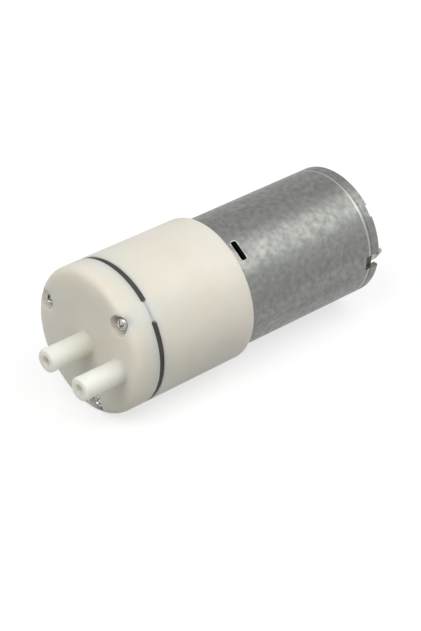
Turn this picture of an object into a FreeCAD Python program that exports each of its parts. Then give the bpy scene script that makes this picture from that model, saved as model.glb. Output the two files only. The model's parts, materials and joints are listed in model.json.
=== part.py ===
import FreeCAD, Part
import Sketcher
import math
import os
import re
from FreeCAD import Placement, Rotation, Vector

# Mini diaphragm air pump on a round brushed DC motor
# Frame: +X runs along the pump's axis from the nozzles to the motor's rear, +Z is up as the pump lies on its
# side, and the origin is where the motor's front face meets the pump head. Angles turn about +X from +Y to +Z.

doc = FreeCAD.newDocument("MiniAirPump")
sheet = doc.addObject("Spreadsheet::Sheet", "Sizes")

# Driving sizes, in millimetres and degrees
sizes = {
    # moulded head
    "headDia": 27.0,
    "housingLength": 20.6,
    "slotGap": 1.1,
    "capDepth": 5.2,
    "headDraft": 0.1,
    "capCrown": 0.5,
    "crownWidth": 3.0,
    "rimRound": 1.5,
    "slotEndRound": 0.45,
    "rearRound": 0.5,
    # nozzles
    "nozzleDia": 4.3,
    "nozzleBore": 1.9,
    "nozzleLength": 8.6,
    "nozzleTipRound": 0.4,
    "nozzleRootRound": 0.5,
    "inletInset": 1.3,
    "inletAngle": 188.8,
    # cap screws and their bosses
    "screwPhase": 19.4,
    "screwInset": 2.1,
    "pocketDia": 3.9,
    "pocketDepth": 1.7,
    "screwHeadDia": 2.75,
    "screwHeadHeight": 1.1,
    "screwHeadRound": 0.5,
    "screwDia": 2.0,
    "screwLength": 9.5,
    "crossSpan": 1.65,
    "crossWidth": 0.42,
    "crossDepth": 0.6,
    "screwClearance": 0.15,
    "bossShare": 0.2148,
    "bridgeWidth": 3.5,
    # inside of the cap
    "capWall": 2.0,
    "channelRib": 0.8,
    "channelInset": 1.3,
    "channelDepth": 0.9,
    "outletRoomMargin": 0.5,
    "outletRoomDepth": 1.0,
    # gasket, valve plate and valves
    "gasketThickness": 0.6,
    "valvePlateThickness": 2.2,
    "plateClearance": 0.15,
    "valveStemRadius": 0.7,
    "valveBulbRadius": 1.0,
    "valveBulbLength": 0.95,
    "valveLipThickness": 0.4,
    "valveCrown": 0.8,
    "outletValveLap": 0.3,
    "outletHoleRadius": 0.5,
    "outletHoleInset": 0.9,
    "outletHoleSpread": 22.0,
    "inletHoleRadius": 0.45,
    "inletHoleGap": 0.25,
    "inletValveLap": 0.35,
    "inletValveMargin": 0.3,
    # diaphragm and its chambers
    "cupShare": 0.374,
    "cupMargin": 0.9,
    "cupTaper": 1.3,
    "chamberStep": 60.0,
    "chamberTurn": 120.0,
    "cupWall": 0.6,
    "cupFloor": 0.9,
    "cupClearance": 0.2,
    "edgeInset": 0.2,
    "chamberPlateThickness": 2.2,
    "stemRadius": 0.9,
    "stemClearance": 0.25,
    "knobRadius": 1.5,
    "knobLength": 1.3,
    # wobble drive
    "pivotDepth": 4.6,
    "pivotGap": 0.1,
    "wobbleAngle": 8.0,
    "crankPhase": 60.0,
    "postRadius": 1.5,
    "pinRadius": 0.75,
    "pinShare": 0.386,
    "pinEndGap": 0.3,
    "pinClearance": 0.05,
    "armThickness": 1.6,
    "armHalfWidth": 1.9,
    "armLead": 0.7,
    "hubRadius": 1.9,
    "hubEnd": 4.6,
    "ribWidth": 1.0,
    "ribDepth": 1.2,
    "wheelRadius": 5.0,
    "wheelHubRadius": 3.2,
    "wheelGap": 1.0,
    "wheelRearGap": 0.4,
    "wheelHubShare": 0.314,
    # housing
    "rearWall": 3.0,
    "housingWall": 2.6,
    "pilotDepth": 8.0,
    # fastening to the motor
    "motorScrewInset": 3.7,
    "motorScrewMargin": 5.0,
    "motorScrewTurn": 30.0,
    "motorScrewDia": 2.5,
    "motorScrewHeadDia": 4.4,
    "motorScrewHeadHeight": 1.5,
    "motorScrewReach": 2.0,
    # motor can
    "canDia": 24.4,
    "canRim": 0.8,
    "canWall": 1.1,
    "canFrontRound": 0.5,
    "canRearRound": 0.35,
    "motorBossRadius": 3.1,
    "motorBossLength": 1.5,
    "grooveInset": 2.2,
    "grooveWidth": 0.45,
    "grooveDepth": 0.12,
    "ventStation": 1.45,
    "ventLength": 1.3,
    "ventWidth": 4.0,
    "ventAngle": 124.4,
    "terminalAngle": 184.3,
    "deepNotchWidth": 2.75,
    "deepNotchDepth": 3.3,
    "keyNotchAngle": 139.7,
    "keyNotchWidth": 2.2,
    "keyNotchDepth": 0.5,
    "crimpDepth": 0.6,
    "crimpWidth": 2.4,
    # bearings and shaft
    "shaftDia": 2.0,
    "shaftShare": 0.43,
    "shaftEndGap": 0.2,
    "runningGap": 0.02,
    "fitGap": 0.02,
    "frontBushRadius": 2.6,
    "frontBushLength": 3.0,
    "rearBushRadius": 2.3,
    "rearBushLength": 2.4,
    "washerRadius": 1.9,
    "washerThickness": 0.3,
    # rotor
    "coreStation": 6.5,
    "coreLength": 14.0,
    "airGap": 0.4,
    "coreHubShare": 0.34,
    "toothWidth": 3.4,
    "shoeThickness": 1.0,
    "shoeSpan": 100.0,
    "coilShare": 0.256,
    "coilEnd": 2.1,
    "coilHubGap": 0.2,
    "coilShoeShare": 0.2,
    "coilRound": 1.2,
    "spacerRadius": 2.2,
    "commutatorLead": 2.9,
    "commutatorLength": 4.0,
    "commutatorRadius": 2.6,
    "barThickness": 0.6,
    "barSpan": 112.0,
    "riserRadius": 3.9,
    "riserThickness": 0.4,
    # field magnets
    "magnetOverhang": 2.0,
    "magnetInset": 3.6,
    "magnetSpan": 130.0,
    "magnetSpringThickness": 0.5,
    # rear end
    "endCapGap": 0.2,
    "rearBushLead": 1.2,
    "endCapThickness": 3.4,
    "endCapBossRadius": 3.4,
    "endCapBossReach": 4.9,
    "terminalInset": 1.95,
    "terminalThickness": 0.4,
    "terminalWidth": 2.3,
    "terminalReach": 2.2,
    "terminalLead": 0.6,
    "terminalPoint": 1.3,
    "terminalHoleRadius": 0.5,
    "brushLead": 0.9,
    "brushWidth": 2.4,
    "brushHeight": 1.6,
    "brushLength": 2.0,
    "brushGap": 0.05,
    "armStripThickness": 0.2,
    "armRiseShare": 0.555,
}

# Sizes that follow from the driving ones, in the same words
derived = {
    "screwCircle": "headDia / 2 - screwInset",
    "bossRadius": "bossShare * headDia / 2",
    "recessDia": "headDia - 2 * capWall",
    "channelInner": "outletRoomRadius + channelRib",
    "channelOuter": "recessDia / 2 - channelInset",
    "inletCircle": "channelOuter - inletInset",
    "outletRoomRadius": "outletValveRadius + outletRoomMargin",
    "outletValveRadius": "outletHoleCircle + outletHoleRadius + outletValveLap",
    "outletHoleCircle": "cupCircle - cupTopRadius + outletHoleInset",
    "inletHoleOffset": "valveStemRadius + inletHoleRadius + inletHoleGap",
    "inletValveRadius": "inletHoleOffset + inletHoleRadius + inletValveLap",
    "inletValveCircle": "cupCircle + cupTopRadius - cupWall - inletValveRadius - inletValveMargin",
    "cupTopRadius": "cupShare * recessDia / 2",
    "cupFloorRadius": "cupTopRadius - cupTaper",
    "cupCircle": "recessDia / 2 - cupMargin - cupTopRadius",
    "cupAngle": "screwPhase + chamberStep",
    "cavityRadius": "headDia / 2 - housingWall",
    "pivotStation": "housingLength - pivotDepth",
    "wheelFront": "pivotStation - hubEnd - wheelGap",
    "wheelRear": "rearWall + wheelRearGap",
    "wheelLength": "wheelFront - wheelRear",
    "wheelStep": "wheelRear + wheelHubShare * wheelLength",
    "pinLength": "hubEnd + wheelGap + pinShare * wheelLength",
    "shaftReach": "wheelRear + shaftShare * wheelLength",
    "motorScrewCircle": "min(canDia / 2 - motorScrewInset; headDia / 2 - motorScrewMargin)",
    "magnetInner": "canDia / 2 - magnetInset",
    "magnetStation": "coreStation - magnetOverhang",
    "magnetLength": "coreLength + 2 * magnetOverhang",
    "coreRadius": "magnetInner - airGap",
    "coilSide": "coilShare * coreRadius",
    "coreHubRadius": "coreHubShare * coreRadius",
    "coilInner": "coreHubRadius + coilHubGap",
    "coilOuter": "coreRadius - shoeThickness - coilShoeShare * coreRadius",
    "commutatorStation": "coreStation + coreLength + commutatorLead",
    "brushStation": "commutatorStation + brushLead",
    "endCapStation": "commutatorStation + commutatorLength + endCapGap",
    "rearBushStation": "endCapStation + rearBushLead",
    "shaftRear": "rearBushStation + rearBushLength - shaftEndGap",
    "canLength": "endCapStation + endCapThickness + canRim",
    "grooveStation": "canLength - grooveInset",
    "terminalRadius": "canDia / 2 - terminalInset",
    "terminalStart": "commutatorStation + terminalLead",
    "armRise": "armRiseShare * terminalRadius",
}
for row, (alias, amount) in enumerate(sizes.items(), start=1):
    sheet.set(f"A{row}", alias)
    sheet.set(f"B{row}", str(amount))
    sheet.setAlias(f"B{row}", alias)
doc.recompute()

subparts = []


# Expressions: sizes are written as text, so that the same words give a number and bind a property
def spelled(text):
    def spell(word):
        name = word.group()
        return f"({spelled(derived[name])})" if name in derived else name

    return re.sub(r"[A-Za-z]\w*", spell, text)


def bound(text):
    def bind_name(word):
        return f"Sizes.{word.group()}" if word.group() in sizes else word.group()

    return re.sub(r"[A-Za-z]\w*", bind_name, spelled(text))


def number(text):
    return float(sheet.evalExpression(spelled(text)))


def bind(item, **texts):
    for name, text in texts.items():
        item.setExpression(name.replace("__", "."), bound(text))


# Bodies and the three kinds of sketch plane
def new_body(label, station="0"):
    body = doc.addObject("PartDesign::Body", label)
    body.Label = label
    bind(body, Placement__Base__x=station)
    subparts.append(body)
    return body


def origin_feature(body, role):
    return next(item for item in body.Origin.OriginFeatures if item.Role == role)


def attached(body, name, role, turn_axis):
    sketch = body.newObject("Sketcher::SketchObject", name)
    sketch.AttachmentSupport = (origin_feature(body, role), [""])
    sketch.MapMode = "FlatFace"
    sketch.AttachmentOffset = Placement(Vector(), Rotation(turn_axis, 30))
    return sketch


# Square to the axis: the sketch's x points outwards at the angle
def cross_sketch(body, name, station="0", angle="0"):
    sketch = attached(body, name, "YZ_Plane", Vector(0, 0, 1))
    bind(sketch, AttachmentOffset__Base__z=station, AttachmentOffset__Rotation__Angle=angle)
    return sketch


# Through the axis: the sketch's x runs along the axis and its y outwards at the angle
def side_sketch(body, name, angle="0"):
    sketch = attached(body, name, "XY_Plane", Vector(1, 0, 0))
    bind(sketch, AttachmentOffset__Rotation__Angle=angle)
    return sketch


# Facing outwards at the angle, at a distance from the axis: x runs along the axis, y round it
def radial_sketch(body, name, angle, distance):
    sketch = attached(body, name, "XY_Plane", Vector(1, 0, 0))
    bind(
        sketch,
        AttachmentOffset__Rotation__Angle=f"({angle}) - 90",
        AttachmentOffset__Base__y=f"({distance}) * cos({angle})",
        AttachmentOffset__Base__z=f"({distance}) * sin({angle})",
    )
    return sketch


# Sketch outlines with their sizes bound
def constrain(sketch, kind, text, *places):
    at = sketch.addConstraint(Sketcher.Constraint(kind, *places, number(text)))
    sketch.setExpression(f"Constraints[{at}]", bound(text))


def fix_point(sketch, line, end, x, y):
    for kind, text, axis in (("DistanceX", x, -2), ("DistanceY", y, -1)):
        if text == "0":
            sketch.addConstraint(Sketcher.Constraint("PointOnObject", line, end, axis))
        elif number(text) > 0:
            constrain(sketch, kind, text, -1, 1, line, end)
        else:
            constrain(sketch, kind, f"-({text})", line, end, -1, 1)


def circle(sketch, radius, x="0", y="0"):
    centre = Vector(number(x), number(y), 0)
    ring = sketch.addGeometry(Part.Circle(centre, Vector(0, 0, 1), number(radius)))
    constrain(sketch, "Radius", radius, ring)
    fix_point(sketch, ring, 3, x, y)


def polygon(sketch, points):
    places = [Vector(number(x), number(y), 0) for x, y in points]
    first = sketch.GeometryCount
    count = len(points)
    for i in range(count):
        sketch.addGeometry(Part.LineSegment(places[i], places[(i + 1) % count]))
    for i in range(count):
        sketch.addConstraint(Sketcher.Constraint("Coincident", first + i, 2, first + (i + 1) % count, 1))
    for i, (x, y) in enumerate(points):
        fix_point(sketch, first + i, 1, x, y)


# A strip with one round end: the round end's centre is at x = centre and the square end at x = reach
def u_shape(sketch, centre, half, reach):
    middle, radius, end = number(centre), number(half), number(reach)
    side = 1 if end > middle else -1
    ring = Part.Circle(Vector(middle, 0, 0), Vector(0, 0, 1), radius)
    turn = 0 if side > 0 else math.pi
    arc = sketch.addGeometry(Part.ArcOfCircle(ring, turn + math.pi / 2, turn + 3 * math.pi / 2))
    corners = [Vector(x, y, 0) for x, y in ((middle, -side * radius), (end, -side * radius), (end, side * radius), (middle, side * radius))]
    lower = sketch.addGeometry(Part.LineSegment(corners[0], corners[1]))
    square = sketch.addGeometry(Part.LineSegment(corners[1], corners[2]))
    upper = sketch.addGeometry(Part.LineSegment(corners[2], corners[3]))
    sketch.addConstraint(Sketcher.Constraint("Coincident", lower, 2, square, 1))
    sketch.addConstraint(Sketcher.Constraint("Coincident", square, 2, upper, 1))
    sketch.addConstraint(Sketcher.Constraint("Tangent", arc, 2, lower, 1))
    sketch.addConstraint(Sketcher.Constraint("Tangent", upper, 2, arc, 1))
    sketch.addConstraint(Sketcher.Constraint("Horizontal", lower))
    sketch.addConstraint(Sketcher.Constraint("Horizontal", upper))
    sketch.addConstraint(Sketcher.Constraint("Vertical", square))
    constrain(sketch, "Radius", half, arc)
    fix_point(sketch, arc, 3, centre, "0")
    if reach == "0":
        sketch.addConstraint(Sketcher.Constraint("PointOnObject", square, 1, -2))
    else:
        constrain(sketch, "DistanceX", reach, -1, 1, square, 1)


# Body features
def revolve(body, sketch, name="Turned", axis="H_Axis"):
    feature = body.newObject("PartDesign::Revolution", name)
    feature.Profile = sketch
    feature.ReferenceAxis = (sketch, [axis])
    feature.Angle = 360
    return feature


def pad(body, sketch, length, name="Padded", backwards=False):
    feature = body.newObject("PartDesign::Pad", name)
    feature.Profile = sketch
    feature.Reversed = backwards
    bind(feature, Length=length)
    return feature


# A pocket cuts against its sketch's normal, or along it when backwards is set
def pocket(body, sketch, length, name="Cut", backwards=False):
    doc.recompute()
    before = body.Shape.Volume
    feature = body.newObject("PartDesign::Pocket", name)
    feature.Profile = sketch
    feature.Reversed = backwards
    bind(feature, Length=length)
    doc.recompute()
    if body.Shape.Volume > before - 1e-6:
        raise RuntimeError(f"{body.Label}: {name} cuts nothing")
    return feature


def pattern(body, features, count, name="Round"):
    feature = body.newObject("PartDesign::PolarPattern", name)
    feature.Originals = features
    feature.Axis = (origin_feature(body, "X_Axis"), [""])
    feature.Angle = 360
    feature.Occurrences = count
    body.Tip = feature
    return feature


def fillet(body, radius, edges, name="Rounded"):
    if not edges:
        raise RuntimeError(f"{body.Label}: {name} found no edge")
    base = body.Tip
    feature = body.newObject("PartDesign::Fillet", name)
    feature.Base = (base, edges)
    bind(feature, Radius=radius)
    return feature


def edges_where(body, test):
    doc.recompute()
    return [f"Edge{i}" for i, edge in enumerate(body.Tip.Shape.Edges, start=1) if test(edge)]


# Round edges about the pump's axis, or about a line parallel to it, at a station of the body
def ring_edges(body, station, radius, centre="0", angle="0"):
    out, turn = number(centre), math.radians(number(angle))
    middle = Vector(number(station), out * math.cos(turn), out * math.sin(turn))

    def matches(edge):
        curve = edge.Curve
        if not isinstance(curve, Part.Circle):
            return False
        return curve.Center.distanceToPoint(middle) < 1e-4 and abs(curve.Radius - number(radius)) < 1e-4

    return edges_where(body, matches)


# Primitives that lie along the pump's axis: the angle is where their own x points
along = Rotation(Vector(1, 1, 1), 120)


def lying(item, station, angle="0", offset="0"):
    turned = Placement(Vector(), Rotation(Vector(1, 0, 0), number(angle)))
    item.Placement = turned.multiply(Placement(Vector(number(station), number(offset), 0), along))


def rod(name, radius, length, station, angle="0", span="360", offset="0"):
    item = doc.addObject("Part::Cylinder", name)
    bind(item, Radius=radius, Height=length, Angle=span)
    lying(item, station, angle, offset)
    return item


# A box from one radius to another along the direction of the angle, centred across it
def bar(name, start, end, width, length, station, angle):
    item = doc.addObject("Part::Box", name)
    bind(item, Length=f"({end}) - ({start})", Width=width, Height=length)
    turned = Placement(Vector(), Rotation(Vector(1, 0, 0), number(angle)))
    corner = Vector(number(station), number(start), -number(width) / 2)
    item.Placement = turned.multiply(Placement(corner, along))
    return item


def cut(name, base, tool):
    item = doc.addObject("Part::Cut", name)
    item.Base = base
    item.Tool = tool
    return item


def fuse(name, items):
    item = doc.addObject("Part::MultiFuse", name)
    item.Shapes = items
    item.Refine = True
    return item


def keep(item, label):
    item.Label = label
    subparts.append(item)


# Stations and angles that several pieces share
headRadius = "headDia / 2"
splitStation = "-(housingLength + slotGap)"
stackDepth = "(gasketThickness + valvePlateThickness)"
screwSeat = "-(housingLength + slotGap + capDepth - pocketDepth)"
plateRadius = "recessDia / 2 - plateClearance"
cutoutRadius = "bossRadius + plateClearance"
beyondRim = "headDia / 2 + 1"
canInner = "canDia / 2 - canWall"
shaftRadius = "shaftDia / 2"


# Three strips at the screws, which bridge the slots: kept standing while the rest of the rim is cut back
def bridge_islands(body, station):
    sketch = cross_sketch(body, "BridgeSketch", station, "screwPhase")
    circle(sketch, "headDia / 2 + 2")
    for turn in range(3):
        add_turned_strip(sketch, turn * 120)
    return sketch


def add_turned_strip(sketch, degrees):
    half, inner, outer = number("bridgeWidth / 2"), number("screwCircle"), number(beyondRim)
    turn = math.radians(degrees)

    def spot(x, y):
        return Vector(x * math.cos(turn) - y * math.sin(turn), x * math.sin(turn) + y * math.cos(turn), 0)

    ring = Part.Circle(spot(inner, 0), Vector(0, 0, 1), half)
    arc = sketch.addGeometry(Part.ArcOfCircle(ring, turn + math.pi / 2, turn + 3 * math.pi / 2))
    lower = sketch.addGeometry(Part.LineSegment(spot(inner, -half), spot(outer, -half)))
    square = sketch.addGeometry(Part.LineSegment(spot(outer, -half), spot(outer, half)))
    upper = sketch.addGeometry(Part.LineSegment(spot(outer, half), spot(inner, half)))
    sketch.addConstraint(Sketcher.Constraint("Coincident", lower, 2, square, 1))
    sketch.addConstraint(Sketcher.Constraint("Coincident", square, 2, upper, 1))
    sketch.addConstraint(Sketcher.Constraint("Tangent", arc, 2, lower, 1))
    sketch.addConstraint(Sketcher.Constraint("Tangent", upper, 2, arc, 1))
    sketch.addConstraint(Sketcher.Constraint("Perpendicular", lower, square))
    sketch.addConstraint(Sketcher.Constraint("Parallel", lower, upper))
    constrain(sketch, "Radius", "bridgeWidth / 2", arc)
    fix_point(sketch, arc, 3, *turned_place("screwCircle", "0", degrees))
    fix_point(sketch, square, 1, *turned_place(beyondRim, "-bridgeWidth / 2", degrees))


def turned_place(x, y, degrees):
    if degrees == 0:
        return x, y
    return (
        f"({x}) * cos({degrees}) - ({y}) * sin({degrees})",
        f"({x}) * sin({degrees}) + ({y}) * cos({degrees})",
    )


# Where a bridge's side wall meets the face that it stands on, to be rounded as the slot's end
def bridge_foot_edges(body, station):
    level = number(station)
    inner, third = number("screwCircle"), 360 / 3

    def matches(edge):
        box = edge.BoundBox
        flat = abs(box.XMin - level) < 1e-5 and abs(box.XMax - level) < 1e-5
        if not flat or not isinstance(edge.Curve, Part.Line):
            return False
        middle = edge.CenterOfMass
        turn = math.degrees(math.atan2(middle.z, middle.y)) - number("screwPhase")
        off = abs((turn + third / 2) % third - third / 2)
        across = math.hypot(middle.y, middle.z) * math.sin(math.radians(off))
        return abs(across - number("bridgeWidth / 2")) < 1e-3 and math.hypot(middle.y, middle.z) > inner

    return edges_where(body, matches)


# Cap with the outlet nozzle on the axis and the inlet nozzle beside it; x = 0 where it meets the diaphragm
def make_nozzle_cap():
    body = new_body("nozzle_cap", splitStation)
    sketch = side_sketch(body, "CapProfile", "screwPhase")
    depth, crown, width = number("capDepth"), number("capCrown"), number("crownWidth")
    radius = (width**2 + crown**2) / (2 * crown)
    outer, half = number(headRadius), number("slotGap / 2")
    face = sketch.addGeometry(Part.LineSegment(Vector(half, 0, 0), Vector(half, outer, 0)))
    wall = sketch.addGeometry(Part.LineSegment(Vector(half, outer, 0), Vector(crown - depth, outer, 0)))
    ring = Part.Circle(Vector(radius - depth, outer - width, 0), Vector(0, 0, 1), radius)
    arc = sketch.addGeometry(Part.ArcOfCircle(ring, math.atan2(width, crown - radius), math.pi))
    front = sketch.addGeometry(Part.LineSegment(Vector(-depth, outer - width, 0), Vector(-depth, 0, 0)))
    axis = sketch.addGeometry(Part.LineSegment(Vector(-depth, 0, 0), Vector(half, 0, 0)))
    for first, second in ((face, wall), (wall, arc), (front, axis), (axis, face)):
        sketch.addConstraint(Sketcher.Constraint("Coincident", first, 2, second, 1))
    sketch.addConstraint(Sketcher.Constraint("Tangent", arc, 2, front, 1))
    fix_point(sketch, face, 1, "slotGap / 2", "0")
    fix_point(sketch, face, 2, "slotGap / 2", headRadius)
    fix_point(sketch, wall, 2, "-(capDepth - capCrown)", headRadius)
    fix_point(sketch, front, 1, "-capDepth", "headDia / 2 - crownWidth")
    fix_point(sketch, front, 2, "-capDepth", "0")
    revolve(body, sketch)
    fillet(body, "rimRound", ring_edges(body, "-(capDepth - capCrown)", headRadius), "RimRounded")
    pocket(body, bridge_islands(body, "slotGap / 2"), "slotGap / 2", "SlotHalf")
    fillet(body, "slotEndRound", bridge_foot_edges(body, "0"), "SlotEndRounded")

    recess = cross_sketch(body, "RecessSketch")
    circle(recess, "recessDia / 2")
    pocket(body, recess, stackDepth, "Recess")
    channel = cross_sketch(body, "ChannelSketch")
    circle(channel, "channelOuter")
    circle(channel, "channelInner")
    pocket(body, channel, f"{stackDepth} + channelDepth", "InletChannel")
    room = cross_sketch(body, "OutletRoomSketch")
    circle(room, "outletRoomRadius")
    pocket(body, room, f"{stackDepth} + outletRoomDepth", "OutletRoom")
    boss = cross_sketch(body, "BossSketch", "0", "screwPhase")
    u_shape(boss, "screwCircle", "bossRadius", "recessDia / 2 + 1")
    posts = pad(body, boss, f"{stackDepth} + channelDepth + 0.2", "Boss", backwards=True)
    pattern(body, [posts], 3, "Bosses")

    seat = cross_sketch(body, "ScrewPocketSketch", "-capDepth", "screwPhase")
    circle(seat, "pocketDia / 2", "screwCircle")
    seats = pocket(body, seat, "pocketDepth", "ScrewPocket", backwards=True)
    pattern(body, [seats], 3, "ScrewPockets")
    hole = cross_sketch(body, "ScrewHoleSketch", "-capDepth", "screwPhase")
    circle(hole, "screwDia / 2 + screwClearance", "screwCircle")
    holes = pocket(body, hole, "capDepth + slotGap", "ScrewHole", backwards=True)
    pattern(body, [holes], 3, "ScrewHoles")

    spots = (("Outlet", "0", "0", "outletRoomDepth"), ("Inlet", "inletCircle", "inletAngle", "channelDepth"))
    for name, distance, angle, room_depth in spots:
        spigot = cross_sketch(body, f"{name}Sketch", "-(capDepth + nozzleLength)", angle)
        circle(spigot, "nozzleDia / 2", distance)
        pad(body, spigot, "nozzleLength + 0.3", f"{name}Nozzle")
        root = ring_edges(body, "-capDepth", "nozzleDia / 2", distance, angle)
        fillet(body, "nozzleRootRound", root, f"{name}Root")
        tip = ring_edges(body, "-(capDepth + nozzleLength)", "nozzleDia / 2", distance, angle)
        fillet(body, "nozzleTipRound", tip, f"{name}Tip")
        bore = cross_sketch(body, f"{name}BoreSketch", "-(capDepth + nozzleLength)", angle)
        circle(bore, "nozzleBore / 2", distance)
        length = f"nozzleLength + capDepth - {stackDepth} - {room_depth} / 2"
        pocket(body, bore, length, f"{name}Bore", backwards=True)


# Pan-head screw turned about a line parallel to the pump's axis; x = 0 under the head
def screw_set(label, station, angle, distance, count, head, height, rounding, shank, length, cross):
    body = new_body(label, station)
    sketch = side_sketch(body, "ScrewProfile", angle)
    middle = number(distance)
    line = sketch.addGeometry(Part.LineSegment(Vector(-1, middle, 0), Vector(1, middle, 0)), True)
    fix_point(sketch, line, 1, "-1", distance)
    fix_point(sketch, line, 2, "1", distance)
    points = (
        (f"-{height}", distance),
        (f"-{height}", f"{distance} + {head} / 2"),
        ("0", f"{distance} + {head} / 2"),
        ("0", f"{distance} + {shank} / 2"),
        (f"{length} - {shank} / 3", f"{distance} + {shank} / 2"),
        (length, f"{distance} + {shank} / 5"),
        (length, distance),
    )
    polygon(sketch, points)
    turned = revolve(body, sketch, "Screw", "Axis0")
    rim = ring_edges(body, f"-{height}", f"{head} / 2", distance, angle)
    rounded = fillet(body, rounding, rim, "HeadRounded")
    recess = cross_sketch(body, "CrossSketch", f"-{height}", angle)
    half, thin = f"{cross} / 2", "crossWidth / 2"
    outline = (
        (half, thin), (thin, thin), (thin, half), (f"-{thin}", half), (f"-{thin}", thin), (f"-{half}", thin),
        (f"-{half}", f"-{thin}"), (f"-{thin}", f"-{thin}"), (f"-{thin}", f"-{half}"), (thin, f"-{half}"),
        (thin, f"-{thin}"), (half, f"-{thin}"),
    )
    polygon(recess, [(f"{distance} + ({x})", y) for x, y in outline])
    crossed = pocket(body, recess, "crossDepth", "CrossRecess", backwards=True)
    crossed.TaperAngle = -12
    pattern(body, [turned, rounded, crossed], count, "Screws")


def make_screws():
    screw_set(
        "cap_screws", screwSeat, "screwPhase", "screwCircle", 3,
        "screwHeadDia", "screwHeadHeight", "screwHeadRound", "screwDia", "screwLength", "crossSpan",
    )
    screw_set(
        "motor_screws", "-rearWall", "screwPhase + motorScrewTurn", "motorScrewCircle", 2,
        "motorScrewHeadDia", "motorScrewHeadHeight", "screwHeadRound", "motorScrewDia",
        "(rearWall + motorScrewReach)", "(crossSpan * 1.3)",
    )


# A flat plate that fits the cap's recess or the housing's seat, with room for the three bosses
def seated_disc(label, station, thickness):
    body = new_body(label, station)
    disc = cross_sketch(body, "DiscSketch")
    circle(disc, plateRadius)
    pad(body, disc, thickness, "Disc")
    room = cross_sketch(body, "BossRoomSketch", thickness, "screwPhase")
    u_shape(room, "screwCircle", cutoutRadius, beyondRim)
    pattern(body, [pocket(body, room, thickness, "BossRoom")], 3, "BossRooms")
    return body


# A hole through a disc, repeated for the three chambers
def chamber_hole(body, name, radius, distance, angle, thickness):
    sketch = cross_sketch(body, f"{name}Sketch", thickness, angle)
    circle(sketch, radius, distance)
    pattern(body, [pocket(body, sketch, thickness, name)], 3, f"{name}s")


def make_valve_stack():
    gasket = seated_disc("valve_gasket", f"{splitStation} - {stackDepth}", "gasketThickness")
    middle = cross_sketch(gasket, "OutletWindowSketch", "gasketThickness")
    circle(middle, "outletRoomRadius")
    pocket(gasket, middle, "gasketThickness", "OutletWindow")
    window = "inletHoleOffset + inletHoleRadius + 0.2"
    chamber_hole(gasket, "InletWindow", window, "inletValveCircle", "cupAngle", "gasketThickness")

    plate = seated_disc("valve_plate", f"{splitStation} - valvePlateThickness", "valvePlateThickness")
    stem = cross_sketch(plate, "OutletStemSketch", "valvePlateThickness")
    circle(stem, "valveStemRadius + fitGap")
    pocket(plate, stem, "valvePlateThickness", "OutletStem")
    deep = "valvePlateThickness"
    chamber_hole(plate, "InletStem", "valveStemRadius + fitGap", "inletValveCircle", "cupAngle", deep)
    for side in ("+", "-"):
        turn = f"cupAngle {side} outletHoleSpread"
        chamber_hole(plate, "OutletHole", "outletHoleRadius", "outletHoleCircle", turn, deep)
    for x, y in ((1, 0), (0, 1), (-1, 0), (0, -1)):
        sketch = cross_sketch(plate, "InletHoleSketch", deep, "cupAngle")
        across = "0" if y == 0 else f"{y} * inletHoleOffset"
        circle(sketch, "inletHoleRadius", f"inletValveCircle + {x} * inletHoleOffset", across)
        pattern(plate, [pocket(plate, sketch, deep, "InletHole")], 3, "InletHoles")


# Umbrella valve: a thin crowned lip on one side of the plate, its stem through it and a bulb on the other side.
# side is -1 where the lip is in front of the plate and 1 where it is behind; x = 0 at the lip's face.
def umbrella_valve(label, station, angle, distance, lip, side):
    body = new_body(label, station)
    sketch = side_sketch(body, "ValveProfile", angle)
    middle = number(distance)
    line = sketch.addGeometry(Part.LineSegment(Vector(-1, middle, 0), Vector(1, middle, 0)), True)
    fix_point(sketch, line, 1, "-1", distance)
    fix_point(sketch, line, 2, "1", distance)
    through = "(valvePlateThickness + fitGap)"
    outline = (
        ("valveCrown", "0"),
        ("valveCrown", "valveStemRadius"),
        ("valveLipThickness", lip),
        ("0", lip),
        ("0", f"{lip} * 0.8"),
        ("0.1", f"{lip} * 0.7"),
        ("0.1", "valveStemRadius"),
        (f"-{through}", "valveStemRadius"),
        (f"-{through}", "valveBulbRadius"),
        (f"-({through} + valveBulbLength / 2)", "valveBulbRadius"),
        (f"-({through} + valveBulbLength)", "valveStemRadius"),
        (f"-({through} + valveBulbLength)", "0"),
    )
    points = []
    for x, y in outline:
        along_axis = "0" if x == "0" else f"{side} * ({x})"
        points.append((along_axis, distance if y == "0" else f"{distance} + {y}"))
    polygon(sketch, points)
    revolve(body, sketch, "Valve", "Axis0")


def make_valves():
    front, rear = f"{splitStation} - valvePlateThickness", splitStation
    umbrella_valve("outlet_valve", front, "cupAngle", "0", "outletValveRadius", -1)
    for chamber in range(3):
        angle = f"cupAngle + {chamber} * chamberTurn"
        umbrella_valve(f"inlet_valve_{chamber + 1}", rear, angle, "inletValveCircle", "inletValveRadius", 1)


# Frames of the head and of the wobble plate: the wobble frame's x lies along the inclined pin, from the pivot
headFrame = Placement(Vector(), Rotation(Vector(1, 0, 0), number("screwPhase")))
crank = math.radians(number("crankPhase"))
tiltAxis = Vector(0, -math.sin(crank), math.cos(crank))
pivot = Placement(Vector(-number("pivotStation"), 0, 0), Rotation(tiltAxis, number("wobbleAngle")))
wobbleFrame = headFrame.multiply(pivot)
armStart = "armLead"
armEnd = "armLead + armThickness"
cupFloorOuter = "armLead - 0.2"
cupFloorInner = "armLead - 0.2 - cupFloor"


# Circle for a cup's loft, in the head's frame at a station or in the wobble frame at a distance from the pivot
def cup_circle(name, frame, station, radius, chamber):
    item = doc.addObject("Part::Circle", name)
    bind(item, Radius=radius)
    turned = Placement(Vector(), Rotation(Vector(1, 0, 0), number(f"chamberStep + {chamber} * chamberTurn")))
    spot = Placement(Vector(number(station), number("cupCircle"), 0), along)
    item.Placement = frame.multiply(turned).multiply(spot)
    return item


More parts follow.
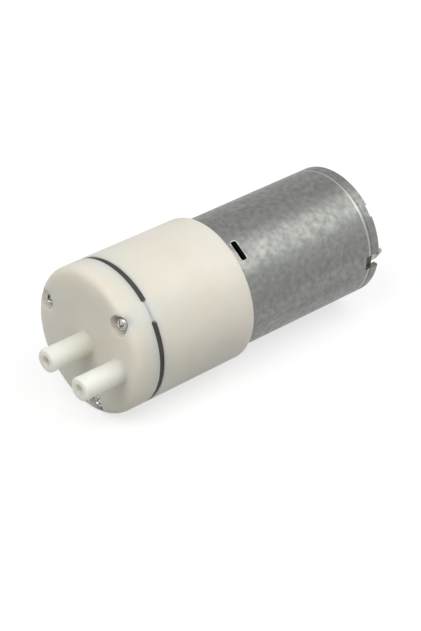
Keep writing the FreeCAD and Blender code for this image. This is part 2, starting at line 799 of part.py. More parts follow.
def cup_loft(name, sections):
    item = doc.addObject("Part::Loft", name)
    item.Sections = sections
    item.Solid = True
    item.Ruled = True
    return item


def wobble_rod(name, radius, start, end, chamber, cone=None):
    item = doc.addObject("Part::Cone" if cone else "Part::Cylinder", name)
    bind(item, Height=f"({end}) - ({start})")
    if cone:
        bind(item, Radius1=radius, Radius2=cone)
    else:
        bind(item, Radius=radius)
    turned = Placement(Vector(), Rotation(Vector(1, 0, 0), number(f"chamberStep + {chamber} * chamberTurn")))
    spot = Placement(Vector(number(start), number("cupCircle"), 0), along)
    item.Placement = wobbleFrame.multiply(turned).multiply(spot)
    return item


# Diaphragm: a flat rubber flange with three cups that hang into the chambers, each held by a stem and a knob
def make_diaphragm():
    flange = doc.addObject("PartDesign::Body", "DiaphragmFlange")
    bind(flange, Placement__Base__x=splitStation)
    disc = cross_sketch(flange, "FlangeSketch")
    circle(disc, "headDia / 2 - edgeInset")
    circle(disc, "valveBulbRadius + 0.5")
    pad(flange, disc, "slotGap", "Flange")
    room = cross_sketch(flange, "BridgeRoomSketch", "slotGap", "screwPhase")
    u_shape(room, "screwCircle", "bridgeWidth / 2 + slotEndRound", beyondRim)
    pattern(flange, [pocket(flange, room, "slotGap", "BridgeRoom")], 3, "BridgeRooms")
    chamber_hole(flange, "Mouth", "cupTopRadius - cupWall", "cupCircle", "cupAngle", "slotGap")

    pieces = [flange]
    for chamber in range(3):
        top, floor = "-housingLength", cupFloorOuter
        outer = cup_loft(f"CupOutside{chamber}", [
            cup_circle(f"CupTop{chamber}", headFrame, top, "cupTopRadius", chamber),
            cup_circle(f"CupFoot{chamber}", wobbleFrame, floor, "cupFloorRadius", chamber),
        ])
        inner = cup_loft(f"CupInside{chamber}", [
            cup_circle(f"RoomTop{chamber}", headFrame, top, "cupTopRadius - cupWall", chamber),
            cup_circle(f"RoomFoot{chamber}", wobbleFrame, cupFloorInner, "cupFloorRadius - cupWall", chamber),
        ])
        pieces.append(cut(f"Cup{chamber}", outer, inner))
        knob = "armLead + armThickness + 0.2"
        pieces.append(wobble_rod(f"Stem{chamber}", "stemRadius", f"{floor} - cupFloor / 2", f"{knob} + 0.3", chamber))
        narrow = "stemRadius * 0.8"
        pieces.append(wobble_rod(f"Knob{chamber}", "knobRadius", knob, f"{knob} + knobLength", chamber, narrow))
    keep(fuse("Diaphragm", pieces), "diaphragm")


# Plate that holds the three cups and carries the pivot on its post
def make_chamber_plate():
    body = seated_disc("chamber_plate", "-housingLength", "chamberPlateThickness")
    deep = "chamberPlateThickness"
    chamber_hole(body, "CupHole", "cupTopRadius + cupClearance", "cupCircle", "cupAngle", deep)
    post = cross_sketch(body, "PostSketch", deep)
    circle(post, "postRadius")
    pad(body, post, "housingLength - pivotStation - chamberPlateThickness - pivotGap", "Post")
    tail = cross_sketch(body, "TailSketch")
    circle(tail, "valveBulbRadius + 0.3")
    pocket(body, tail, "0.5", "TailRoom", backwards=True)
    sketch = side_sketch(body, "SocketSketch")
    centre, radius = number("housingLength - pivotStation"), number("pinRadius + pinClearance")
    ring = Part.Circle(Vector(centre, 0, 0), Vector(0, 0, 1), radius)
    arc = sketch.addGeometry(Part.ArcOfCircle(ring, 0, math.pi))
    line = sketch.addGeometry(Part.LineSegment(Vector(centre - radius, 0, 0), Vector(centre + radius, 0, 0)))
    sketch.addConstraint(Sketcher.Constraint("Coincident", arc, 2, line, 1))
    sketch.addConstraint(Sketcher.Constraint("Coincident", line, 2, arc, 1))
    sketch.addConstraint(Sketcher.Constraint("PointOnObject", line, 1, -1))
    constrain(sketch, "Radius", "pinRadius + pinClearance", arc)
    fix_point(sketch, arc, 3, "housingLength - pivotStation", "0")
    before = body.Tip.Shape.Volume
    socket = body.newObject("PartDesign::Groove", "PivotSocket")
    socket.Profile = sketch
    socket.ReferenceAxis = (sketch, ["H_Axis"])
    socket.Angle = 360
    doc.recompute()
    if body.Shape.Volume > before - 1e-6:
        raise RuntimeError("chamber_plate: the pivot socket cuts nothing")


# Three-armed plate that the inclined pin swings round, in the wobble frame
def make_wobble_plate():
    body = new_body("wobble_plate")
    body.setExpression("Placement.Base.x", None)
    body.Placement = wobbleFrame
    arm = cross_sketch(body, "ArmSketch", armStart, "chamberStep")
    u_shape(arm, "cupCircle", "armHalfWidth", "0")
    arms = pad(body, arm, "armThickness", "Arm")
    rib = cross_sketch(body, "RibSketch", armEnd, "chamberStep")
    wide, far = "ribWidth / 2", "cupCircle - knobRadius - 2 * edgeInset"
    polygon(rib, (("0", f"-{wide}"), (far, f"-{wide}"), (far, wide), ("0", wide)))
    ribs = pad(body, rib, "ribDepth", "Rib")
    pattern(body, [arms, ribs], 3, "Arms")
    hub = cross_sketch(body, "HubSketch", armStart)
    circle(hub, "hubRadius")
    pad(body, hub, "hubEnd - armLead", "Hub")
    bore = cross_sketch(body, "BoreSketch", armStart)
    circle(bore, "pinRadius + fitGap / 2")
    pocket(body, bore, "hubEnd - armLead", "Bore", backwards=True)
    hole = cross_sketch(body, "StemHoleSketch", armStart, "chamberStep")
    circle(hole, "stemRadius + stemClearance", "cupCircle")
    pattern(body, [pocket(body, hole, "armThickness", "StemHole", backwards=True)], 3, "StemHoles")


# Steel pin with a ball tip at the pivot, held by the wobble plate and running in the wheel
def make_drive_pin():
    body = new_body("drive_pin")
    body.setExpression("Placement.Base.x", None)
    body.Placement = wobbleFrame
    sketch = side_sketch(body, "PinProfile")
    radius, length = number("pinRadius"), number("pinLength")
    bevel = radius / 4
    ring = Part.Circle(Vector(0, 0, 0), Vector(0, 0, 1), radius)
    tip = sketch.addGeometry(Part.ArcOfCircle(ring, math.pi / 2, math.pi))
    corners = [Vector(0, radius, 0), Vector(length - bevel, radius, 0), Vector(length, radius - bevel, 0), Vector(length, 0, 0), Vector(-radius, 0, 0)]
    lines = [sketch.addGeometry(Part.LineSegment(a, b)) for a, b in zip(corners, corners[1:])]
    for first, second in zip(lines, lines[1:]):
        sketch.addConstraint(Sketcher.Constraint("Coincident", first, 2, second, 1))
    sketch.addConstraint(Sketcher.Constraint("Coincident", tip, 1, lines[0], 1))
    sketch.addConstraint(Sketcher.Constraint("Coincident", lines[-1], 2, tip, 2))
    sketch.addConstraint(Sketcher.Constraint("Coincident", tip, 3, -1, 1))
    constrain(sketch, "Radius", "pinRadius", tip)
    sketch.addConstraint(Sketcher.Constraint("PointOnObject", tip, 1, -2))
    sketch.addConstraint(Sketcher.Constraint("PointOnObject", tip, 2, -1))
    fix_point(sketch, lines[1], 1, "pinLength - pinRadius / 4", "pinRadius")
    fix_point(sketch, lines[2], 1, "pinLength", "pinRadius * 3 / 4")
    fix_point(sketch, lines[3], 1, "pinLength", "0")
    revolve(body, sketch)


# Eccentric wheel on the motor shaft, with a blind inclined hole that the pin's rear end runs in
def make_eccentric_wheel():
    disc = rod("WheelDisc", "wheelRadius", "wheelFront - wheelStep", "-wheelFront")
    hub = rod("WheelHub", "wheelHubRadius", "wheelStep - wheelRear", "-wheelStep")
    solid = fuse("WheelSolid", [disc, hub])
    bore = rod("WheelBore", f"{shaftRadius} + fitGap / 2", "shaftReach - wheelRear + pivotGap", "-(shaftReach + pivotGap)")
    hole = doc.addObject("Part::Cylinder", "WheelPinHole")
    bind(hole, Radius="pinRadius + pinClearance", Height="pinLength + pinEndGap - hubEnd")
    hole.Placement = wobbleFrame.multiply(Placement(Vector(number("hubEnd"), 0, 0), along))
    keep(cut("Wheel", solid, fuse("WheelHoles", [bore, hole])), "eccentric_wheel")


# Housing: open at the front for the mechanism, a wall at the rear against the motor; x = 0 at the rear face
def make_pump_housing():
    body = new_body("pump_housing")
    sketch = side_sketch(body, "HousingProfile", "screwPhase")
    front = "-(housingLength + slotGap / 2)"
    polygon(sketch, (("0", "0"), (front, "0"), (front, headRadius), ("0", "headDia / 2 - headDraft")))
    revolve(body, sketch)
    islands = bridge_islands(body, front)
    pocket(body, islands, "slotGap / 2", "SlotHalf", backwards=True)
    fillet(body, "slotEndRound", bridge_foot_edges(body, "-housingLength"), "SlotEndRounded")
    fillet(body, "rearRound", ring_edges(body, "0", "headDia / 2 - headDraft"), "RearRounded")

    cavity = cross_sketch(body, "CavitySketch", "-housingLength")
    circle(cavity, "cavityRadius")
    pocket(body, cavity, "housingLength - rearWall", "Cavity", backwards=True)
    seat = cross_sketch(body, "SeatSketch", "-housingLength")
    circle(seat, "recessDia / 2")
    pocket(body, seat, "chamberPlateThickness", "PlateSeat", backwards=True)
    boss = cross_sketch(body, "BossSketch", "-housingLength", "screwPhase")
    u_shape(boss, "screwCircle", "bossRadius", "recessDia / 2 + 1")
    posts = pad(body, boss, "housingLength - rearWall + 0.5", "Boss")
    pattern(body, [posts], 3, "Bosses")

    pilot = cross_sketch(body, "PilotSketch", front, "screwPhase")
    circle(pilot, "screwDia / 2 + fitGap", "screwCircle")
    pilots = pocket(body, pilot, "pilotDepth", "Pilot", backwards=True)
    pattern(body, [pilots], 3, "Pilots")
    centre = cross_sketch(body, "MotorBossSketch", "0")
    circle(centre, "motorBossRadius + plateClearance")
    pocket(body, centre, "rearWall", "MotorBossHole")
    hole = cross_sketch(body, "MotorScrewSketch", "0", "screwPhase + motorScrewTurn")
    circle(hole, "motorScrewDia / 2 + screwClearance", "motorScrewCircle")
    pattern(body, [pocket(body, hole, "rearWall", "MotorScrewHole")], 2, "MotorScrewHoles")


# Drawn steel can with a front boss for the bush, vents, rear notches and crimped-in tabs
def make_motor_can():
    body = new_body("motor_can")
    sketch = side_sketch(body, "CanProfile")
    outer = "canDia / 2"
    shallow = "canDia / 2 - grooveDepth"
    slope = "grooveDepth * 0.7"
    polygon(sketch, (
        ("-motorBossLength", "frontBushRadius + fitGap"),
        ("-motorBossLength", "motorBossRadius"),
        ("0", "motorBossRadius"),
        ("0", outer),
        ("grooveStation", outer),
        (f"grooveStation + {slope}", shallow),
        (f"grooveStation + grooveWidth - {slope}", shallow),
        ("grooveStation + grooveWidth", outer),
        ("canLength", outer),
        ("canLength", canInner),
        ("canWall", canInner),
        ("canWall", "frontBushRadius + fitGap"),
    ))
    revolve(body, sketch)
    fillet(body, "canFrontRound", ring_edges(body, "0", outer), "FrontRounded")
    fillet(body, "canRearRound", ring_edges(body, "canLength", outer), "RearRounded")

    screw = cross_sketch(body, "ScrewHoleSketch", "canWall", "screwPhase + motorScrewTurn")
    circle(screw, "motorScrewDia / 2 + fitGap", "motorScrewCircle")
    pattern(body, [pocket(body, screw, "canWall", "ScrewHole")], 2, "ScrewHoles")

    through, outside = "canWall + 2", "canDia / 2 + 1"
    cuts = (
        ("Vent", "ventAngle", "ventStation", "ventStation + ventLength", "ventWidth"),
        ("DeepNotch", "terminalAngle", "canLength - deepNotchDepth", "canLength + 1", "deepNotchWidth"),
        ("KeyNotch", "keyNotchAngle", "canLength - keyNotchDepth", "canLength + 1", "keyNotchWidth"),
    )
    for name, angle, start, end, width in cuts:
        sketch = radial_sketch(body, f"{name}Sketch", angle, outside)
        half = f"({width}) / 2"
        polygon(sketch, ((start, f"-{half}"), (end, f"-{half}"), (end, half), (start, half)))
        pattern(body, [pocket(body, sketch, through, name)], 2, f"{name}s")

    rear = "endCapStation + endCapThickness"
    tab = cross_sketch(body, "CrimpSketch", rear, "terminalAngle + 45")
    half = "crimpWidth / 2"
    inner, root = "canDia / 2 - canWall - crimpDepth", "canDia / 2 - canWall / 2"
    polygon(tab, ((inner, f"-{half}"), (root, f"-{half}"), (root, half), (inner, half)))
    pattern(body, [pad(body, tab, "crimpDepth", "Crimp")], 4, "Crimps")


# A plain turned ring about the axis
def ring(label, station, inner, outer, length):
    body = new_body(label, station)
    sketch = cross_sketch(body, "RingSketch")
    circle(sketch, outer)
    circle(sketch, inner)
    pad(body, sketch, length, "Ring")


def make_bearings():
    bore = f"{shaftRadius} + runningGap"
    bush_front = "-(motorBossLength - 0.1)"
    ring("front_bush", bush_front, bore, "frontBushRadius", "frontBushLength")
    ring("rear_bush", "rearBushStation", bore, "rearBushRadius", "rearBushLength")
    washer = f"frontBushLength - motorBossLength + 0.1 + runningGap"
    ring("front_washer", washer, bore, "washerRadius", "washerThickness")
    behind = f"{washer} + washerThickness + runningGap"
    ring("front_spacer", behind, bore, "spacerRadius", f"coreStation - ({behind})")
    back = "rearBushStation - washerThickness - runningGap"
    ring("rear_washer", back, bore, "washerRadius", "washerThickness")


# Shaft, laminated core with three teeth, coils and commutator
def make_rotor():
    shaft = new_body("motor_shaft", "-shaftReach")
    sketch = side_sketch(shaft, "ShaftProfile")
    length, bevel = "(shaftReach + shaftRear)", "shaftDia / 10"
    polygon(sketch, (
        ("0", "0"), ("0", f"{shaftRadius} - {bevel}"), (bevel, shaftRadius),
        (f"{length} - {bevel}", shaftRadius), (length, f"{shaftRadius} - {bevel}"), (length, "0"),
    ))
    revolve(shaft, sketch)

    pieces = [rod("CoreHub", "coreHubRadius", "coreLength", "coreStation")]
    for tooth in range(3):
        angle = 90 + 120 * tooth
        pieces.append(bar(f"Tooth{tooth}", "1", "coreRadius - shoeThickness / 2", "toothWidth", "coreLength", "coreStation", str(angle)))
        start = f"{angle} - shoeSpan / 2"
        shoe = rod(f"Shoe{tooth}", "coreRadius", "coreLength", "coreStation", start, "shoeSpan")
        inside = rod(f"ShoeInside{tooth}", "coreRadius - shoeThickness", "coreLength", "coreStation")
        pieces.append(cut(f"ShoeRim{tooth}", shoe, inside))
    bore = rod("CoreBore", f"{shaftRadius} + fitGap / 2", "coreLength", "coreStation")
    keep(cut("Core", fuse("CoreSolid", pieces), bore), "rotor_core")

    for tooth in range(3):
        angle = str(90 + 120 * tooth)
        wide, deep = "toothWidth + 2 * coilSide", "coreLength + 2 * coilEnd"
        outside = bar(f"CoilOutside{tooth}", "coilInner", "coilOuter", wide, deep, "coreStation - coilEnd", angle)
        doc.recompute()
        rounded = doc.addObject("Part::Fillet", f"CoilRounded{tooth}")
        rounded.Base = outside
        direction = outside.Placement.Rotation.multVec(Vector(1, 0, 0))
        corners = []
        for i, edge in enumerate(outside.Shape.Edges, start=1):
            if edge.Curve.Direction.isParallel(direction, 1e-6):
                corners.append((i, number("coilRound"), number("coilRound")))
        rounded.Edges = corners
        gap = "toothWidth + 2 * fitGap"
        inside = bar(f"CoilInside{tooth}", "coilInner - 1", "coilOuter + 1", gap, "coreLength + 2 * fitGap", "coreStation - fitGap", angle)
        keep(cut(f"Coil{tooth}", rounded, inside), f"coil_{tooth + 1}")

    core = new_body("commutator_core", "coreStation + coreLength + fitGap")
    sketch = side_sketch(core, "CoreProfile")
    bar_inner = "commutatorRadius - barThickness"
    start = "(commutatorStation - coreStation - coreLength - fitGap)"
    bore_radius = f"{shaftRadius} + fitGap / 2"
    polygon(sketch, (
        ("0", bore_radius), ("0", bar_inner), (f"{start} - riserThickness", bar_inner),
        (f"{start} - riserThickness", "riserRadius - 0.4"), (start, "riserRadius - 0.4"), (start, bar_inner),
        (f"{start} + commutatorLength + 0.3", bar_inner), (f"{start} + commutatorLength + 0.3", bore_radius),
    ))
    revolve(core, sketch)

    pieces = []
    for segment in range(3):
        angle = f"{30 + 120 * segment} - barSpan / 2"
        body = rod(f"BarRound{segment}", "commutatorRadius", "commutatorLength", "commutatorStation", angle, "barSpan")
        narrow = f"{30 + 120 * segment} - barSpan / 8"
        riser = rod(f"Riser{segment}", "riserRadius", "riserThickness", "commutatorStation", narrow, "barSpan / 4")
        inside = rod(f"BarInside{segment}", f"{bar_inner} + fitGap / 2", "commutatorLength", "commutatorStation")
        pieces.append(cut(f"Bar{segment}", fuse(f"BarSolid{segment}", [body, riser]), inside))
    keep(fuse("Bars", pieces), "commutator_bars")


# Two arc magnets and the spring that spreads them
def make_magnets():
    outer = f"{canInner} - fitGap"
    for side in range(2):
        start = f"terminalAngle + {90 + 180 * side} - magnetSpan / 2"
        solid = rod(f"MagnetSolid{side}", outer, "magnetLength", "magnetStation", start, "magnetSpan")
        inside = rod(f"MagnetInside{side}", "magnetInner", "magnetLength", "magnetStation")
        keep(cut(f"Magnet{side}", solid, inside), f"magnet_{side + 1}")
    span = "(180 - magnetSpan - 1)"
    solid = rod("SpringSolid", outer, "magnetLength", "magnetStation", f"terminalAngle - {span} / 2", span)
    inside = rod("SpringInside", f"{outer} - magnetSpringThickness", "magnetLength", "magnetStation")
    keep(cut("Spring", solid, inside), "magnet_spring")


# Moulded end cap with the rear bush's boss; x = 0 at its inner face
def make_end_cap():
    body = new_body("end_cap", "endCapStation")
    sketch = side_sketch(body, "EndCapProfile")
    seat = "(rearBushStation - endCapStation)"
    inside = "rearBushRadius + fitGap"
    rim = f"{canInner} - fitGap"
    top = f"{seat} + rearBushLength + 0.2"
    polygon(sketch, (
        ("endCapBossReach", "0"), ("endCapBossReach", "endCapBossRadius"), ("endCapThickness", "endCapBossRadius"),
        ("endCapThickness", rim), ("0", rim), ("0", "riserRadius"), (seat, "riserRadius"), (seat, inside),
        (top, inside), (top, "0"),
    ))
    revolve(body, sketch)
    fillet(body, "rearRound", ring_edges(body, "endCapBossReach", "endCapBossRadius"), "BossRounded")
    slot = cross_sketch(body, "TerminalSlotSketch", "endCapThickness", "terminalAngle")
    inner, half = "terminalRadius - fitGap", "(terminalWidth / 2 + fitGap)"
    outer = "terminalRadius + terminalThickness + fitGap"
    polygon(slot, ((inner, f"-{half}"), (outer, f"-{half}"), (outer, half), (inner, half)))
    pattern(body, [pocket(body, slot, "endCapThickness", "TerminalSlot")], 2, "TerminalSlots")


# Terminal tabs with pointed eyed ends, brushes and the bent arms that press them on the commutator
def make_contacts():
    reach = "(canLength + terminalReach)"
    for side in range(2):
        angle = f"(terminalAngle + {180 * side})"
        body = new_body(f"terminal_{side + 1}")
        tab = radial_sketch(body, "TabSketch", angle, "terminalRadius")
        half, tip = "terminalWidth / 2", "terminalWidth / 8"
        polygon(tab, (
            ("terminalStart", f"-{half}"), (f"{reach} - terminalPoint", f"-{half}"), (reach, f"-{tip}"),
            (reach, tip), (f"{reach} - terminalPoint", half), ("terminalStart", half),
        ))
        circle(tab, "terminalHoleRadius", f"{reach} - terminalPoint")
        pad(body, tab, "terminalThickness", "Tab")

        inner = "commutatorRadius + brushGap"
        start = "commutatorRadius + brushGap - 0.3"
        block = bar(f"BrushBlock{side}", start, f"{inner} + brushLength", "brushHeight", "brushWidth", "brushStation", angle)
        round_tool = rod(f"BrushCurve{side}", inner, "brushWidth", "brushStation")
        keep(cut(f"Brush{side}", block, round_tool), f"brush_{side + 1}")
        keep(brush_arm(side, angle), f"brush_arm_{side + 1}")


# The two sides of a bent strip, at a distance from its middle line, as one closed run of mitred corners
def strip_sides(middle, distance):
    steps = [(b - a).normalize() for a, b in zip(middle, middle[1:])]
    across = [Vector(1, 0, 0).cross(step) for step in steps]
    corners = [across[0]]
    for before, after in zip(across, across[1:]):
        corners.append((before + after) * (1 / (1 + before.dot(after))))
    corners.append(across[-1])
    left = [spot + corner * distance for spot, corner in zip(middle, corners)]
    right = [spot - corner * distance for spot, corner in zip(middle, corners)]
    return left + right[::-1]


# A bent strip: its middle line runs from behind the brush out and round to the terminal's inner face
def brush_arm(side, angle):
    thick = number("armStripThickness")
    back = number("commutatorRadius + brushGap + brushLength + fitGap") + thick / 2
    tab = number("terminalRadius - fitGap") - thick / 2
    brush, end = number("brushHeight / 2"), number("terminalWidth / 2")
    rise, span = number("armRise"), tab - back
    middle = (
        (back, -brush), (back + 0.02 * span, 0.76 * rise), (back + 0.22 * span, 0.97 * rise),
        (back + 0.61 * span, rise), (back + 0.87 * span, 0.62 * rise), (tab, 0.28 * rise), (tab, -end),
    )
    sides = strip_sides([Vector(0, y, z) for y, z in middle], thick / 2)
    outline = Part.makePolygon(sides + sides[:1])
    strip = Part.Face(outline).extrude(Vector(number("brushWidth"), 0, 0))
    item = doc.addObject("Part::Feature", f"BrushArm{side}")
    item.Shape = strip
    turned = Placement(Vector(), Rotation(Vector(1, 0, 0), number(angle)))
    item.Placement = Placement(Vector(number("brushStation"), 0, 0), Rotation()).multiply(turned)
    return item


make_nozzle_cap()
make_screws()
make_valve_stack()
make_valves()
make_diaphragm()
make_chamber_plate()
make_wobble_plate()
make_drive_pin()
make_eccentric_wheel()
make_pump_housing()
make_motor_can()
make_bearings()
make_rotor()
make_magnets()
make_end_cap()
make_contacts()
doc.recompute()

# Every feature must have built, and every sub-part must be a valid solid, before anything is written
for item in doc.Objects:
    if "Invalid" in item.State or "Error" in item.State:
        raise RuntimeError(f"{item.Label} failed: {item.State}")
os.makedirs("parts", exist_ok=True)
for item in subparts:
    shape = item.Shape
    if shape.isNull() or not shape.isValid() or not shape.Solids:
        raise RuntimeError(f"{item.Label} has no valid solid")
for item in subparts:
    item.Shape.exportStep(f"parts/{item.Label}.step")
    print(item.Label, len(item.Shape.Solids), "solids,", round(item.Shape.Volume, 2), "mm3")
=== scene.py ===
import bmesh
import bpy
import json
import math
import numpy as np
from mathutils import Matrix, Vector


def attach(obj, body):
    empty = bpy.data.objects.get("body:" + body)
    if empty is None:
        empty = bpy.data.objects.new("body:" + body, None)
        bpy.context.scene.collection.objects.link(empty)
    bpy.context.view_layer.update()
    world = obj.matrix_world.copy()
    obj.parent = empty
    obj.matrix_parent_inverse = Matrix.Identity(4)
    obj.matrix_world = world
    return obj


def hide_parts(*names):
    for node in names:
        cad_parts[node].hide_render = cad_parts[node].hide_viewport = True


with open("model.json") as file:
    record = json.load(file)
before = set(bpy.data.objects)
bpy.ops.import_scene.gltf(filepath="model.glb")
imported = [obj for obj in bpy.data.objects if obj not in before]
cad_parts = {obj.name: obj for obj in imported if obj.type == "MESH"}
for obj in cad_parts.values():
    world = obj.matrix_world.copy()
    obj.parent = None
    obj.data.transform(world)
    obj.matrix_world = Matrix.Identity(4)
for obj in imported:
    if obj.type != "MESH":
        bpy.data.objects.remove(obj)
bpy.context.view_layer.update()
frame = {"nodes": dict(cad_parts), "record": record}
scene = bpy.context.scene
nodes = frame["nodes"]
mm = 0.001


# A colour in 0 to 255 screen values, as the linear colour that a socket takes
def screen(r, g, b):
    c = np.array([r, g, b]) / 255
    linear = np.where(c <= 0.04045, c / 12.92, ((c + 0.055) / 1.055) ** 2.4)
    return (*linear.tolist(), 1.0)


# Shared node groups: each puts out masks from 0 to 1 that change over the surface
def newGroup(name, inputs, outputs):
    group = bpy.data.node_groups.new(name, "ShaderNodeTree")
    for label, value in inputs.items():
        kind = "NodeSocketVector" if isinstance(value, tuple) else "NodeSocketFloat"
        group.interface.new_socket(label, in_out="INPUT", socket_type=kind).default_value = value
    for label in outputs:
        group.interface.new_socket(label, in_out="OUTPUT", socket_type="NodeSocketFloat")
    return group, group.nodes.new("NodeGroupInput"), group.nodes.new("NodeGroupOutput")


def addNode(tree, kind, **settings):
    node = tree.nodes.new(kind)
    for name, value in settings.items():
        setattr(node, name, value)
    return node


def link(tree, output, node, socket):
    tree.links.new(output, node.inputs[socket])


def objectNoise(tree, scale, detail, roughness=0.55, stretch=None):
    coords = addNode(tree, "ShaderNodeTexCoord")
    noise = addNode(tree, "ShaderNodeTexNoise")
    noise.inputs["Detail"].default_value = detail
    noise.inputs["Roughness"].default_value = roughness
    link(tree, scale, noise, "Scale")
    if stretch is None:
        link(tree, coords.outputs["Object"], noise, "Vector")
    else:
        mapping = addNode(tree, "ShaderNodeMapping")
        link(tree, coords.outputs["Object"], mapping, "Vector")
        link(tree, stretch, mapping, "Scale")
        link(tree, mapping.outputs["Vector"], noise, "Vector")
    return noise.outputs["Fac"]


def widened(tree, value, low, high):
    spread = addNode(tree, "ShaderNodeMapRange", clamp=True)
    spread.inputs["From Min"].default_value = low
    spread.inputs["From Max"].default_value = high
    link(tree, value, spread, "Value")
    return spread.outputs["Result"]


# Grain: a broad cloudy mask and a fine pitted one, each a noise over the surface
def makeGrain():
    group, inside, out = newGroup("grain", {"Cloud Scale": 120.0, "Pit Scale": 2500.0}, ["Cloud", "Pit"])
    cloud = objectNoise(group, inside.outputs["Cloud Scale"], 3.0)
    pit = objectNoise(group, inside.outputs["Pit Scale"], 2.0)
    link(group, widened(group, cloud, 0.3, 0.7), out, "Cloud")
    link(group, widened(group, pit, 0.25, 0.75), out, "Pit")
    return group


# Streaks: noise squeezed in one direction, as drawing, rolling or turning leaves it
def makeStreaks():
    group, inside, out = newGroup("streaks", {"Scale": 300.0, "Stretch": (1.0, 1.0, 1.0)}, ["Streak"])
    streak = objectNoise(group, inside.outputs["Scale"], 4.0, 0.65, inside.outputs["Stretch"])
    link(group, widened(group, streak, 0.3, 0.7), out, "Streak")
    return group


# Lines: 0.5 + 0.5 sin(Density times the coordinate along Direction), for plates and turns of wire
def makeLines():
    group, inside, out = newGroup("lines", {"Density": 20000.0, "Direction": (1.0, 0.0, 0.0)}, ["Line"])
    coords = addNode(group, "ShaderNodeTexCoord")
    along = addNode(group, "ShaderNodeVectorMath", operation="DOT_PRODUCT")
    link(group, coords.outputs["Object"], along, 0)
    link(group, inside.outputs["Direction"], along, 1)
    phase = addNode(group, "ShaderNodeMath", operation="MULTIPLY")
    link(group, along.outputs["Value"], phase, 0)
    link(group, inside.outputs["Density"], phase, 1)
    wave = addNode(group, "ShaderNodeMath", operation="SINE")
    link(group, phase.outputs["Value"], wave, 0)
    half = addNode(group, "ShaderNodeMath", operation="MULTIPLY_ADD")
    half.inputs[1].default_value = 0.5
    half.inputs[2].default_value = 0.5
    link(group, wave.outputs["Value"], half, 0)
    link(group, half.outputs["Value"], out, "Line")
    return group


# Wear and painted shade: worn where edges stick out, broken up by noise, and painted shade where a surface
# is hollow
def makeWearAndShade():
    group, inside, out = newGroup("wearAndShade", {"Scale": 700.0}, ["Edge", "PaintedShade"])
    shape = addNode(group, "ShaderNodeNewGeometry")
    edge = widened(group, shape.outputs["Pointiness"], 0.51, 0.58)
    broken = widened(group, objectNoise(group, inside.outputs["Scale"], 3.0), 0.35, 0.6)
    both = addNode(group, "ShaderNodeMath", operation="MULTIPLY")
    link(group, edge, both, 0)
    link(group, broken, both, 1)
    link(group, both.outputs["Value"], out, "Edge")
    # painted shade: a mask that darkens hollows, such as a screw's cross recess, where shade falls
    link(group, widened(group, shape.outputs["Pointiness"], 0.49, 0.43), out, "PaintedShade")
    return group


groups = {"grain": makeGrain(), "streaks": makeStreaks(), "lines": makeLines(), "wearAndShade": makeWearAndShade()}
print("node groups:", ", ".join(groups))


# What a material is built from: node groups, a plain shader, two colours mixed by a mask, a range of
# roughness and a bump
def useGroup(tree, name, **values):
    node = addNode(tree, "ShaderNodeGroup", node_tree=groups[name])
    for label, value in values.items():
        node.inputs[label.replace("_", " ")].default_value = value
    return node


def newMaterial(name, sockets):
    material = bpy.data.materials.new(name)
    material.use_nodes = True
    shader = material.node_tree.nodes["Principled BSDF"]
    for label, value in sockets.items():
        shader.inputs[label].default_value = value
    return material, material.node_tree, shader


# Of a mix node's sockets, inputs 6 and 7 and output 2 are the ones for colours
def mixColours(tree, mask, *colours):
    mix = addNode(tree, "ShaderNodeMix", data_type="RGBA")
    for colour, socket in zip(colours, mix.inputs[6:8]):
        if isinstance(colour, tuple):
            socket.default_value = colour
        else:
            tree.links.new(colour, socket)
    tree.links.new(mask, mix.inputs[0])
    return mix.outputs[2]


def setRoughness(tree, shader, mask, low, high):
    spread = addNode(tree, "ShaderNodeMapRange")
    spread.inputs["To Min"].default_value = low
    spread.inputs["To Max"].default_value = high
    link(tree, mask, spread, "Value")
    link(tree, spread.outputs["Result"], shader, "Roughness")


def setBump(tree, shader, height, depth):
    bump = addNode(tree, "ShaderNodeBump")
    bump.inputs["Distance"].default_value = depth
    link(tree, height, bump, "Height")
    link(tree, bump.outputs["Normal"], shader, "Normal")


# Distance along the pump's axis
def axisPlace(tree):
    coords = addNode(tree, "ShaderNodeTexCoord")
    split = addNode(tree, "ShaderNodeSeparateXYZ")
    link(tree, coords.outputs["Object"], split, "Vector")
    return split.outputs["X"]


# 1 at a place on the pump's axis, falling to 0 over a width to each side
def ringMask(tree, place, width):
    away = addNode(tree, "ShaderNodeMath", operation="SUBTRACT")
    away.inputs[1].default_value = place
    link(tree, axisPlace(tree), away, 0)
    size = addNode(tree, "ShaderNodeMath", operation="ABSOLUTE")
    link(tree, away.outputs["Value"], size, 0)
    return widened(tree, size.outputs["Value"], width, 0.0)


# Moulded nylon: warm white, a little translucent, faintly cloudy, with a fine eroded skin, and with painted
# light that makes it paler towards the nozzle tips
nylonLook = {
    "light": screen(229, 224, 213),
    "deep": screen(224, 218, 203),
    "thin": screen(254, 248, 230),  # painted light: the thin nozzles are painted paler than the body, for the light that shines through them
    "thinFrom": -27.0 * mm,
    "thinTo": -33.0 * mm,
    "scatter": 3.6 * mm,
    "roughness": (0.42, 0.55),
    "cloudScale": 90.0,
    "pitScale": 2200.0,
    "pitDepth": 0.006 * mm,
}


def makeNylon():
    s = nylonLook
    material, tree, shader = newMaterial("whiteNylon", {
        "Subsurface Weight": 0.75,
        "Subsurface Radius": (1.0, 0.75, 0.5),
        "Subsurface Scale": s["scatter"],
        "IOR": 1.53,
    })
    grain = useGroup(tree, "grain", Cloud_Scale=s["cloudScale"], Pit_Scale=s["pitScale"])
    colour = mixColours(tree, grain.outputs["Cloud"], s["light"], s["deep"])
    # painted light: the colour turns paler towards the nozzle tips, standing in for light through their
    # thin walls
    thin = widened(tree, axisPlace(tree), s["thinFrom"], s["thinTo"])
    link(tree, mixColours(tree, thin, colour, s["thin"]), shader, "Base Color")
    setRoughness(tree, shader, grain.outputs["Cloud"], *s["roughness"])
    setBump(tree, shader, grain.outputs["Pit"], s["pitDepth"])
    return material
